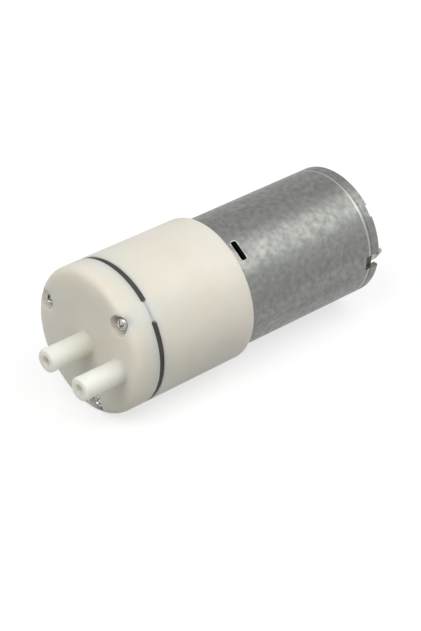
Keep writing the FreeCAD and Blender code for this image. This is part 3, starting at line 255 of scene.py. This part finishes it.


# Plated can: cloudy zinc-grey sheet, long soft bands left by drawing, and a painted highlight: a paler line
# at its rolled groove
plateLook = {
    "light": screen(146, 146, 140),
    "dark": screen(118, 120, 118),
    "band": screen(104, 107, 106),
    "bandShare": 0.5,
    # painted highlight: a paler line round the can at its groove, where light glints
    "groove": screen(176, 177, 173),
    "paintedHighlightPlace": 29.35 * mm,
    "grooveWidth": 0.26 * mm,
    "roughness": (0.36, 0.46),
    "cloudScale": 900.0,
    "pitScale": 5200.0,
    "pitDepth": 0.005 * mm,
    "streakScale": 260.0,
    "stretch": (0.12, 1.0, 1.0),
}


def makePlated():
    s = plateLook
    material, tree, shader = newMaterial("platedSteel", {"Metallic": 1.0})
    grain = useGroup(tree, "grain", Cloud_Scale=s["cloudScale"], Pit_Scale=s["pitScale"])
    streaks = useGroup(tree, "streaks", Scale=s["streakScale"], Stretch=s["stretch"])
    band = addNode(tree, "ShaderNodeMath", operation="MULTIPLY")
    band.inputs[1].default_value = s["bandShare"]
    link(tree, streaks.outputs["Streak"], band, 0)
    colour = mixColours(tree, grain.outputs["Cloud"], s["light"], s["dark"])
    colour = mixColours(tree, band.outputs["Value"], colour, s["band"])
    # painted highlight: paler along the groove
    groove = ringMask(tree, s["paintedHighlightPlace"], s["grooveWidth"])
    link(tree, mixColours(tree, groove, colour, s["groove"]), shader, "Base Color")
    setRoughness(tree, shader, grain.outputs["Cloud"], *s["roughness"])
    setBump(tree, shader, grain.outputs["Pit"], s["pitDepth"])
    return material


# Other metals: streaks vary the colour and the gloss, worn edges are paler, and hollows are darker with
# painted shade
metalLooks = {
    "bright_screw": {
        "name": "brightScrew", "light": screen(206, 206, 203), "dark": screen(136, 137, 136),
        # painted shade: the hollow colour darkens the screws' cross recesses
        "edge": screen(238, 238, 234), "paintedShade": screen(64, 64, 64),
        "roughness": (0.12, 0.26), "scale": 900.0, "depth": 0.003 * mm,
    },
    "ground_steel": {
        "name": "groundSteel", "light": screen(205, 206, 208), "dark": screen(172, 174, 177),
        "roughness": (0.16, 0.3), "stretch": (1.0, 0.15, 0.15),  # so that the marks run round the axis
    },
    # painted highlight: the rolled edges are painted paler than the can's plated steel
    "rolled_edge": {
        "name": "rolledEdgePaintedHighlight", "light": screen(192, 193, 190), "dark": screen(150, 151, 149),
        "roughness": (0.26, 0.4),
    },
    "bronze": {
        "name": "bronze", "light": screen(196, 150, 92), "dark": screen(160, 116, 68),
        "roughness": (0.35, 0.55), "scale": 1500.0, "depth": 0.008 * mm,
    },
    "tinned_brass": {
        "name": "tinnedBrass", "light": screen(146, 146, 141), "dark": screen(112, 112, 108),
        "edge": screen(176, 174, 166), "roughness": (0.25, 0.42), "scale": 800.0,
    },
}


def makeMetal(name, light, dark, roughness, edge=None, paintedShade=None, stretch=(1.0, 1.0, 1.0), scale=300.0,
              depth=0.004 * mm):
    material, tree, shader = newMaterial(name, {"Metallic": 1.0})
    streaks = useGroup(tree, "streaks", Scale=scale, Stretch=stretch)
    colour = mixColours(tree, streaks.outputs["Streak"], light, dark)
    if edge is not None:
        colour = mixColours(tree, useGroup(tree, "wearAndShade").outputs["Edge"], colour, edge)
    # painted shade in the hollows
    if paintedShade is not None:
        colour = mixColours(tree, useGroup(tree, "wearAndShade").outputs["PaintedShade"], colour, paintedShade)
    link(tree, colour, shader, "Base Color")
    setRoughness(tree, shader, streaks.outputs["Streak"], *roughness)
    setBump(tree, shader, streaks.outputs["Streak"], depth)
    return material


# Plastics, rubber, ferrite and carbon: a cloudy colour with a pitted skin
softLooks = {
    "black_rubber": {
        "name": "blackRubber", "light": screen(62, 58, 55), "dark": screen(50, 46, 43),
        "roughness": (0.62, 0.8),
    },
    "grey_acetal": {
        "name": "greyAcetal", "light": screen(150, 151, 150), "dark": screen(136, 138, 137),
        "roughness": (0.4, 0.55),
    },
    "ferrite": {
        "name": "ferrite", "light": screen(66, 66, 68), "dark": screen(50, 50, 53),
        "roughness": (0.55, 0.75), "pit": 1800.0,
    },
    "end_plastic": {
        "name": "endPlastic", "light": screen(92, 92, 86), "dark": screen(80, 80, 74),
        "roughness": (0.45, 0.6),
    },
    "carbon": {
        "name": "carbon", "light": screen(44, 44, 46), "dark": screen(30, 30, 32),
        "roughness": (0.5, 0.7), "pit": 3500.0,
    },
}


def makeSoft(name, light, dark, roughness, pit=2500.0, cloud=250.0, depth=0.008 * mm):
    material, tree, shader = newMaterial(name, {})
    grain = useGroup(tree, "grain", Cloud_Scale=cloud, Pit_Scale=pit)
    link(tree, mixColours(tree, grain.outputs["Cloud"], light, dark), shader, "Base Color")
    setRoughness(tree, shader, grain.outputs["Pit"], *roughness)
    setBump(tree, shader, grain.outputs["Pit"], depth)
    return material


# Lined metals: the plates of the core and the turns of wire, as fine lines square to a direction
linedLooks = {
    "core_steel": {
        "name": "coreSteel", "light": screen(150, 151, 154), "dark": screen(92, 93, 97),
        "roughness": (0.35, 0.6), "density": 9000.0, "direction": (1.0, 0.0, 0.0), "depth": 0.02 * mm,
    },
    "copper": {
        "name": "copper", "light": screen(214, 132, 78), "dark": screen(142, 74, 38),
        "roughness": (0.25, 0.4), "density": 21000.0, "direction": (0.0, 0.7, 0.7), "depth": 0.03 * mm,
    },
}


def makeLined(name, light, dark, roughness, density, direction, depth):
    material, tree, shader = newMaterial(name, {"Metallic": 1.0})
    lines = useGroup(tree, "lines", Density=density, Direction=direction)
    link(tree, mixColours(tree, lines.outputs["Line"], light, dark), shader, "Base Color")
    setRoughness(tree, shader, lines.outputs["Line"], *roughness)
    setBump(tree, shader, lines.outputs["Line"], depth)
    return material


materials = {"white_nylon": makeNylon(), "plated_steel": makePlated()}
for recipe, looks in ((makeMetal, metalLooks), (makeSoft, softLooks), (makeLined, linedLooks)):
    for slot, look in looks.items():
        materials[slot] = recipe(**look)
print("materials:", len(materials))


# Every CAD node: its slot's material, and a modifier that joins its triangles and smooths its round faces
def makeSmoother(merge, sharpAngle):
    group = bpy.data.node_groups.new("smoothRounds", "GeometryNodeTree")
    group.interface.new_socket("Geometry", in_out="INPUT", socket_type="NodeSocketGeometry")
    group.interface.new_socket("Geometry", in_out="OUTPUT", socket_type="NodeSocketGeometry")
    inside = group.nodes.new("NodeGroupInput")
    out = group.nodes.new("NodeGroupOutput")
    merged = addNode(group, "GeometryNodeMergeByDistance")
    merged.inputs["Distance"].default_value = merge
    faces = addNode(group, "GeometryNodeSetShadeSmooth", domain="FACE")
    edges = addNode(group, "GeometryNodeSetShadeSmooth", domain="EDGE")
    bend = addNode(group, "GeometryNodeInputMeshEdgeAngle")
    sharp = addNode(group, "FunctionNodeCompare", data_type="FLOAT", operation="GREATER_THAN")
    sharp.inputs[1].default_value = math.radians(sharpAngle)
    edges.inputs["Shade Smooth"].default_value = False
    link(group, inside.outputs["Geometry"], merged, "Geometry")
    link(group, merged.outputs["Geometry"], faces, "Geometry")
    link(group, faces.outputs["Geometry"], edges, "Geometry")
    link(group, bend.outputs["Unsigned Angle"], sharp, 0)
    link(group, sharp.outputs["Result"], edges, "Selection")
    link(group, edges.outputs["Geometry"], out, "Geometry")
    return group


smoother = makeSmoother(merge=0.001 * mm, sharpAngle=28.0)
slotOf = {part["node"]: part["material_slot"] for part in frame["record"]["subparts"]}


def dressNode(name):
    node = nodes[name]
    node.data.materials.clear()
    node.data.materials.append(materials[slotOf[name]])
    node.modifiers.new("smooth", "NODES").node_group = smoother
    weighted = node.modifiers.new("evenShading", "WEIGHTED_NORMAL")
    weighted.keep_sharp = True


for name in nodes:
    dressNode(name)
print("nodes dressed:", len(nodes))


# Faces of a grid of points, each from a point to the next ones in its row and in the row after. Rows
# close on themselves, and so does the grid, from its last row to its first, where looped
def gridFaces(rows, count, looped=False):
    row, step = np.arange(rows if looped else rows - 1)[:, None], np.arange(count)[None, :]
    after, below = (step + 1) % count, (row + 1) % rows
    corners = row * count + step, row * count + after, below * count + after, below * count + step
    return np.stack(np.broadcast_arrays(*corners), -1)


noTriangles = np.zeros((0, 3), int)


# A shell is its points in millimetres, its four-cornered faces and its triangles. Here it joins ring to
# ring and closes each end in a pole
def shell(rings):
    rows, count = rings.shape[:2]
    points = np.vstack([rings.reshape(-1, 3), rings[0].mean(0), rings[-1].mean(0)])
    step, after = np.arange(count), (np.arange(count) + 1) % count
    pole, lastRow = rows * count, (rows - 1) * count
    start = np.stack([np.full(count, pole), after, step], -1)
    end = np.stack([np.full(count, pole + 1), lastRow + step, lastRow + after], -1)
    return points, gridFaces(rows, count).reshape(-1, 4), np.vstack([start, end])


# Several shells as one
def joined(shells):
    points, quads, triangles = zip(*shells)
    starts = np.cumsum([0, *map(len, points[:-1])])
    quads = np.vstack([part + start for part, start in zip(quads, starts)])
    triangles = np.vstack([part + start for part, start in zip(triangles, starts)])
    return np.vstack(points), quads, triangles


# Volume = a sixth of the sum of a . (b x c) over the triangles abc. Where the sum isn't above zero, the
# faces look inward, and all of them are turned over
def outward(closed):
    points, quads, triangles = closed
    corners = np.vstack([quads[:, [0, 1, 2]], quads[:, [0, 2, 3]], triangles])
    a, b, c = (points[corners[:, i]] for i in range(3))
    if np.einsum("ij,ij->i", a, np.cross(b, c)).sum() > 0:
        return closed
    return points, quads[:, ::-1], triangles[:, ::-1]


weldDistance = 0.002 * mm  # points nearer to each other than this become one


# A piece made of shells, riding on a CAD body. It is smooth but for its edges over the sharp angle, and
# look names its material where that isn't the slot's own
def addPiece(name, shells, slot, body, replaced=(), sharp=35.0, look=None):
    points, quads, triangles = joined([outward(each) for each in shells])
    mesh = bpy.data.meshes.new(name)
    mesh.from_pydata((points * mm).tolist(), [], quads.tolist() + triangles.tolist())
    build = bmesh.new()
    build.from_mesh(mesh)
    bmesh.ops.remove_doubles(build, verts=build.verts, dist=weldDistance)
    build.to_mesh(mesh)
    build.free()
    mesh.shade_smooth()
    mesh.set_sharp_from_angle(angle=math.radians(sharp))
    mesh.materials.append(materials[look or slot])
    piece = bpy.data.objects.new(name, mesh)
    scene.collection.objects.link(piece)
    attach(piece, body)
    if replaced:
        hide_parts(*replaced)


def around(count):
    return np.arange(count) * 2 * math.pi / count


# Points from arrays of places along the axis and radii, at an angle round it
def polar(place, radius, angle):
    return np.stack(np.broadcast_arrays(place, radius * np.cos(angle), radius * np.sin(angle)), -1)


# Points times this are turned about the pump's axis
def spin(degrees):
    return np.array(Matrix.Rotation(math.radians(degrees), 3, "X")).T


# Where the pump's three thirds lie, for the cap screws and for the diaphragm
layout = {"screwCircle": 11.4, "screwAngle": 19.4, "cupAngle": 79.4, "thirds": (0.0, 120.0, 240.0)}


# Vent lips: the rolled edge of each slot in the can, as a tube of one radius along a rounded oblong,
# painted paler than the can as a painted highlight
ventSizes = {
    "front": 1.45, "rear": 2.75, "width": 4.0, "corner": 0.45, "canRadius": 12.14, "tube": 0.12,
    "angles": (124.4, 304.4), "cornerSteps": 12, "tubeSteps": 12,
}


# Path at turn a = the corner's centre + (corner + half the tube) (cos a, sin a), bent round the can
def makeVentLips(s):
    steps = s["cornerSteps"]
    turns = np.repeat(around(4), steps) + np.tile(np.linspace(0, math.pi / 2, steps), 4)
    reach = s["corner"] + s["tube"] / 2
    half = np.array([(s["rear"] - s["front"]) / 2, s["width"] / 2]) - s["corner"]
    centres = half * np.repeat(np.array([[1, 1], [-1, 1], [-1, -1], [1, -1]]), steps, axis=0)
    line = centres + reach * np.stack([np.cos(turns), np.sin(turns)], -1)
    along = np.roll(line, -1, axis=0) - np.roll(line, 1, axis=0)
    along = along / np.linalg.norm(along, axis=1)[:, None]
    side = np.stack([along[:, 1], -along[:, 0]], -1)
    turn = around(s["tubeSteps"])
    flat = line[:, None, :] + s["tube"] * np.cos(turn)[None, :, None] * side[:, None, :]
    level = s["canRadius"] + s["tube"] * np.sin(turn)[None, :]
    middle = (s["front"] + s["rear"]) / 2
    rings = polar(middle + flat[..., 0], level, flat[..., 1] / s["canRadius"])
    quads = gridFaces(*rings.shape[:2], looped=True).reshape(-1, 4)
    shells = [(rings.reshape(-1, 3) @ spin(angle), quads, noTriangles) for angle in s["angles"]]
    addPiece("ventLips", shells, "plated_steel", "pump_body", sharp=60.0, look="rolled_edge")


# Screws: a pan head with a cross recess, and a thread
screwSizes = {
    "capScrews": {
        "node": "cap_screws", "head": 2.75, "height": 1.1, "shank": 2.0, "length": 9.5, "pitch": 0.8,
        "span": 1.7, "slot": 0.46, "depth": 0.6, "tip": 0.12, "seat": -25.2,
        "circle": layout["screwCircle"],
        "angles": [layout["screwAngle"] + third for third in layout["thirds"]],
        "crossTurns": (20.0, 62.0, 35.0),
    },
    "motorScrews": {
        "node": "motor_screws", "head": 4.4, "height": 1.5, "shank": 2.5, "length": 5.0, "pitch": 0.45,
        "span": 2.2, "slot": 0.55, "depth": 0.7, "tip": 0.78, "seat": -3.0,
        "circle": 8.5, "angles": (49.4, 229.4),
        "crossTurns": (10.0, 55.0),
    },
}
screwShape = {
    "round": 96, "domeRings": 45, "threadRings": 9,  # points to a ring, rings to a head and to a turn
    "domeFlat": 3, "domeFall": 0.45,  # powers that keep the head flat in the middle and steep at its side
    "sideSlope": 0.09, "endSlope": 0.16,  # widths over which the sides and ends of the recess go down
    "armRise": 0.4,  # share of its depth that the recess loses towards its arms' ends
    "crest": 0.49, "root": 0.4,  # radii of the thread, as shares of the shank's diameter
    "steep": 1.5,  # slope of the thread's flanks, as a share of an even zigzag's
    "neck": 0.3, "neckRadius": 0.441,  # plain length under the head, and its radius as such a share
    "taper": 0.8,  # length over which the tip is drawn in, as such a share
}


# Head: place = -height (1 - (r / R)^domeFlat)^domeFall. It is sunk by the depth where the smaller of |u|
# and |v| is under half a slot and the larger under half the span, with sloped sides
def screwHead(s, shape):
    angle = around(shape["round"])
    radius = s["head"] / 2 * np.sin(np.linspace(0, math.pi / 2, shape["domeRings"] + 1)[1:])[:, None]
    level = np.clip(1 - (2 * radius / s["head"]) ** shape["domeFlat"], 0, 1)
    u, v = np.abs(radius * np.cos(angle)), np.abs(radius * np.sin(angle))
    near, far = np.minimum(u, v), np.maximum(u, v)
    side = np.clip((s["slot"] / 2 - near) / shape["sideSlope"] + 0.5, 0, 1)
    end = np.clip((s["span"] / 2 - far) / shape["endSlope"] + 0.5, 0, 1)
    sunk = s["depth"] * side * end * (1 - shape["armRise"] * np.clip(2 * far / s["span"], 0, 1))
    return polar(sunk - s["height"] * level ** shape["domeFall"], radius, angle)


# Thread: radius = root + (crest - root) w, where w = |2 frac(place / pitch - angle / turn) - 1|, made
# steeper about its middle and kept from 0 to 1. The radius is then drawn in towards the tip
def screwShank(s, shape):
    angle = around(shape["round"])
    along = np.arange(0, s["length"], s["pitch"] / shape["threadRings"])[:, None]
    wave = np.abs(2 * ((along / s["pitch"] - angle / (2 * math.pi)) % 1) - 1)
    wave = np.clip(0.5 + shape["steep"] * (wave - 0.5), 0, 1)
    radius = s["shank"] * (shape["root"] + (shape["crest"] - shape["root"]) * wave)
    radius = np.where(along < shape["neck"], shape["neckRadius"] * s["shank"], radius)
    drawnIn = np.clip(s["tip"] + (s["length"] - along) / (shape["taper"] * s["shank"]), 0, 1)
    return polar(along, radius * drawnIn, angle)


def makeScrews(name, s):
    rings = np.concatenate([screwHead(s, screwShape), screwShank(s, screwShape)])
    shells = []
    for angle, turn in zip(s["angles"], s["crossTurns"]):
        place = np.array([s["seat"], s["circle"], 0]) @ spin(angle)
        shells.append(shell(rings @ spin(turn) + place))
    addPiece(name, shells, "bright_screw", "pump_body", [s["node"]], sharp=40.0)


# Diaphragm: one rubber sheet with three cups, whose floors, stems and knobs ride on the wobble plate
diaphragmSizes = {
    "front": -21.7, "rear": -20.6, "rim": 13.3, "hole": 1.5,
    "cupCircle": 6.3, "mouth": 3.7, "outside": 4.28,
    "lip": 0.2, "lipMiddle": 0.3,  # rounding of a cup's mouth, and its middle ring's share of it
    "gap": 2.2,  # radius of the room left round each cap screw, open to the rim
    "wallStart": 0.1, "roll": 0.22,  # how far behind the sheet the walls begin, and how far they draw in
    "wallEnd": {"place": -0.5, "inside": 2.3, "outside": 2.85},  # place on the leaning axis, from the pivot
    "pivot": -16.0, "tilt": 8.0,
    "rays": 96, "sheetRings": 5, "wallRings": 14, "floorRound": 64,
    "floor": (  # half outline of a cup's floor, stem and knob, as places from the pivot and radii
        (-0.4, 2.0), (-0.42, 2.28), (-0.6, 2.3), (-1.25, 2.92), (-1.3, 3.05), (-1.25, 3.2), (0.3, 2.98),
        (0.44, 2.93), (0.5, 2.75), (0.5, 1.2), (0.56, 1.0), (0.75, 0.9), (2.4, 0.9), (2.5, 1.0),
        (2.52, 1.42), (2.6, 1.5), (2.75, 1.46), (3.7, 0.84), (3.8, 0.72), (3.8, 0.3),
    ),
}
seamAngle = math.pi / 3  # from a cup's middle to the seam with the next third
farAway = 99.0  # longer than any ray in the sheet


# Along a seam between two thirds, and square to it into the third; side is 1 or -1
def seamFrame(side):
    along = np.array([math.cos(seamAngle), side * math.sin(seamAngle)])
    inward = np.array([math.sin(seamAngle), -side * math.cos(seamAngle)])
    return along, inward


# Length of each ray to a circle: the far crossing where sign is 1, the near one where it is -1
def toCircle(start, rays, centre, radius, sign):
    offset = start - centre
    middle = rays @ offset
    square = middle**2 - offset @ offset + radius**2
    length = -middle + sign * np.sqrt(np.maximum(square, 0))
    return np.where((square >= 0) & (length > 0), length, farAway)


# How far each ray from a cup's centre runs in the sheet, as the least of its lengths to the rim, the
# centre hole, both seams and the round and straight sides of both screw gaps. The second array is true
# for the rays that end on a seam
def rayReach(s, angle):
    rays = np.stack([np.cos(angle), np.sin(angle)], -1)
    start, centre = np.array([s["cupCircle"], 0.0]), np.zeros(2)
    lengths = [toCircle(start, rays, centre, s["rim"], 1), toCircle(start, rays, centre, s["hole"], -1)]
    seams = []
    for side in (1, -1):
        along, inward = seamFrame(side)
        closing = np.minimum(rays @ inward, -1e-9)
        straight = (s["gap"] - start @ inward) / closing
        beyond = start @ along + straight * (rays @ along) > layout["screwCircle"]
        seams.append(len(lengths))
        lengths.append(-(start @ inward) / closing)
        lengths.append(toCircle(start, rays, along * layout["screwCircle"], s["gap"], -1))
        lengths.append(np.where(beyond, straight, farAway))
    lengths = np.array(lengths)
    return lengths.min(0), np.isin(lengths.argmin(0), seams)


# Angles of the rays: even ones, and those to each corner of the outline
def rayAngles(s):
    along, inward = seamFrame(1)
    screw = layout["screwCircle"]
    rimEnd = math.sqrt(s["rim"] ** 2 - s["gap"] ** 2)
    corners = np.array([s["hole"] * along, (screw - s["gap"]) * along, screw * along + s["gap"] * inward,
                        rimEnd * along + s["gap"] * inward])
    own = np.arctan2(corners[:, 1], corners[:, 0] - s["cupCircle"])
    even = np.linspace(-math.pi, math.pi, s["rays"], endpoint=False)
    return np.unique(np.round(np.concatenate([even, own, -own]), 9))


# Points round a cup's own axis, where that cup lies in the sheet
def atCup(s, third, place, radius, angle):
    flat = polar(place, radius, angle) + np.array([0, s["cupCircle"], 0])
    return flat @ spin(layout["cupAngle"] + third)


# Points given from the pivot, as the wobble plate holds them at rest: its axis leans to the first cup
def leaned(s, points):
    tilt, cup = math.radians(s["tilt"]), math.radians(layout["cupAngle"])
    axis = Vector((math.cos(tilt), math.sin(tilt) * math.cos(cup), math.sin(tilt) * math.sin(cup)))
    turn = Vector((1, 0, 0)).rotation_difference(axis).to_matrix()
    return points @ np.array(turn).T + np.array([s["pivot"], 0, 0])


# One third, as one strip of rings: the sheet's front, the inside of its cup, the outside of it, and the
# sheet's back. A wall's ring = (1 - t) times its ring at the sheet + t times its ring at the leaning
# floor, drawn in towards the cup's axis by the roll times |sin(2 pi t)|
def diaphragmThird(s, third):
    angle = rayAngles(s)
    reach = rayReach(s, angle)[0]
    between = angle + np.diff(np.append(angle, angle[0] + 2 * math.pi)) / 2
    onSeam = rayReach(s, between)[1]

    def level(place, radius):
        return atCup(s, third, place, radius, angle)

    def wall(first, last):
        start = level(s["rear"] + s["wallStart"], first)
        end = leaned(s, level(s["wallEnd"]["place"], last))
        t = np.linspace(0, 1, s["wallRings"])[:, None, None]
        roll = s["roll"] * np.abs(np.sin(2 * math.pi * t)) * (level(0.0, 1.0) - level(0.0, 0.0))
        return (1 - t) * start + t * end - roll

    share = np.linspace(1, 0, s["sheetRings"])[:, None]
    mouth, lip, middle = s["mouth"], s["lip"], s["lipMiddle"]
    front = level(s["front"], mouth + lip + share * (reach - mouth - lip))
    rounded = level(s["front"] + lip * np.array([[middle], [1]]), mouth + lip * np.array([[middle], [0]]))
    inside, outside = wall(mouth, s["wallEnd"]["inside"]), wall(s["outside"], s["wallEnd"]["outside"])
    back = level(s["rear"], s["outside"] + share[::-1] * (reach - s["outside"]))
    rings = np.concatenate([front, rounded, inside, outside[::-1], back])
    quads = gridFaces(*rings.shape[:2], looped=True)
    kept = np.concatenate([quads[:-1].reshape(-1, 4), quads[-1][~onSeam]])
    return rings.reshape(-1, 3), kept, noTriangles


# A cup's floor, stem and knob: the half outline turned round the cup's own axis, then leaned over
def diaphragmFloor(s, third):
    place, radius = np.array(s["floor"]).T[:, :, None]
    return shell(leaned(s, atCup(s, third, place, radius, around(s["floorRound"]))))


def makeDiaphragm(s):
    sheet = joined([diaphragmThird(s, third) for third in layout["thirds"]])
    floors = [diaphragmFloor(s, third) for third in layout["thirds"]]
    addPiece("diaphragmSheet", [sheet], "black_rubber", "pump_body", ["diaphragm"])
    addPiece("diaphragmFloors", floors, "black_rubber", "wobble", ["diaphragm"])


makeVentLips(ventSizes)
for name, sizes in screwSizes.items():
    makeScrews(name, sizes)
makeDiaphragm(diaphragmSizes)
print("pieces made: vent lips, screws and diaphragm")


# 1 for the rays that show the background: the camera's, and those in gloss and through glass
def shownRays(tree):
    path = addNode(tree, "ShaderNodeLightPath")
    shown = path.outputs["Is Camera Ray"]
    for kind in ("Is Glossy Ray", "Is Transmission Ray"):
        either = addNode(tree, "ShaderNodeMath", operation="MAXIMUM")
        link(tree, shown, either, 0)
        link(tree, path.outputs[kind], either, 1)
        shown = either.outputs["Value"]
    return shown


# Floor: a wide pale sheet under the pump, white to the camera, keeping the pump's soft shadow
floorSizes = {
    "reach": 1.5, "level": -13.5 * mm, "glow": 0.66, "seenColour": 0.42,
    "light": screen(168, 168, 167), "dark": screen(162, 162, 161), "cloudScale": 8.0,
}


def makeFloor():
    s = floorSizes
    mesh = bpy.data.meshes.new("floor")
    corners = s["reach"] * np.array([[-1, -1, 0], [1, -1, 0], [1, 1, 0], [-1, 1, 0]], float)
    corners[:, 2] = s["level"]
    mesh.from_pydata(corners.tolist(), [], [(0, 1, 2, 3)])
    floor = bpy.data.objects.new("floor", mesh)
    scene.collection.objects.link(floor)
    material, tree, shader = newMaterial("paleFloor", {"Roughness": 0.8, "Specular IOR Level": 0.0})
    grain = useGroup(tree, "grain", Cloud_Scale=s["cloudScale"])
    pale = mixColours(tree, grain.outputs["Cloud"], s["light"], s["dark"])
    shown = shownRays(tree)
    seen = (s["seenColour"],) * 3 + (1.0,)
    link(tree, mixColours(tree, shown, pale, seen), shader, "Base Color")
    glow = addNode(tree, "ShaderNodeMath", operation="MULTIPLY")
    glow.inputs[1].default_value = s["glow"]
    link(tree, shown, glow, 0)
    shader.inputs["Emission Color"].default_value = (1, 1, 1, 1)
    link(tree, glow.outputs["Value"], shader, "Emission Strength")
    mesh.materials.append(material)


# World: white to the camera and in gloss and glass, a plain studio to all else, paler overhead
worldSizes = {"horizon": 0.36, "overhead": 0.5}


def makeWorld():
    world = bpy.data.worlds.new("studio")
    world.use_nodes = True
    scene.world = world
    tree = world.node_tree
    coords = addNode(tree, "ShaderNodeTexCoord")
    split = addNode(tree, "ShaderNodeSeparateXYZ")
    link(tree, coords.outputs["Generated"], split, "Vector")
    rise = addNode(tree, "ShaderNodeMapRange", clamp=True)
    rise.inputs["To Min"].default_value = worldSizes["horizon"]
    rise.inputs["To Max"].default_value = worldSizes["overhead"]
    link(tree, split.outputs["Z"], rise, "Value")
    strength = addNode(tree, "ShaderNodeMath", operation="MAXIMUM")
    link(tree, rise.outputs["Result"], strength, 0)
    link(tree, shownRays(tree), strength, 1)
    link(tree, strength.outputs["Value"], tree.nodes["Background"], "Strength")
    tree.nodes["Background"].inputs["Color"].default_value = (1, 1, 1, 1)


# Lamps: three softboxes and a weak card low down, all turned to the frame's origin
lamps = {
    "frontSoftbox": {"place": (0.27, -0.29, 0.43), "size": (0.5, 0.4), "watts": 1.3},
    "noseSoftbox": {"place": (-0.1, -0.36, 0.36), "size": (0.3, 0.3), "watts": 0.26},
    "overheadSoftbox": {"place": (-0.36, -0.04, 0.44), "size": (0.4, 0.4), "watts": 1.35},
    "lowCard": {"place": (0.26, -0.42, 0.03), "size": (0.4, 0.22), "watts": 0.04},
}


def makeLamps():
    target = Vector((0.0, 0.0, 0.0))
    for name, s in lamps.items():
        lamp = bpy.data.lights.new(name, "AREA")
        lamp.shape = "RECTANGLE"
        lamp.size, lamp.size_y = s["size"]
        lamp.energy = s["watts"]
        holder = bpy.data.objects.new(name, lamp)
        holder.location = s["place"]
        holder.rotation_euler = (target - Vector(s["place"])).to_track_quat("-Z", "Y").to_euler()
        scene.collection.objects.link(holder)


# Camera: the photograph's place and lens, looking down at the nozzles
cameraSizes = {"place": (-0.2326, -0.2638, 0.2152), "azimuth": -41.6, "elevation": 32.13, "lens": 132.8}


def makeCamera():
    s = cameraSizes
    turn, rise = math.radians(s["azimuth"]), math.radians(s["elevation"])
    look = Vector((-math.sin(turn) * math.cos(rise), math.cos(turn) * math.cos(rise), -math.sin(rise)))
    camera = bpy.data.objects.new("camera", bpy.data.cameras.new("camera"))
    camera.location = s["place"]
    camera.rotation_euler = look.to_track_quat("-Z", "Y").to_euler()
    camera.data.lens = s["lens"]
    camera.data.clip_start, camera.data.clip_end = 0.01, 10
    scene.collection.objects.link(camera)
    scene.camera = camera


makeFloor()
makeWorld()
makeLamps()
makeCamera()
scene.view_settings.view_transform = "Standard"
print("stage, lamps and camera set")

print("done")
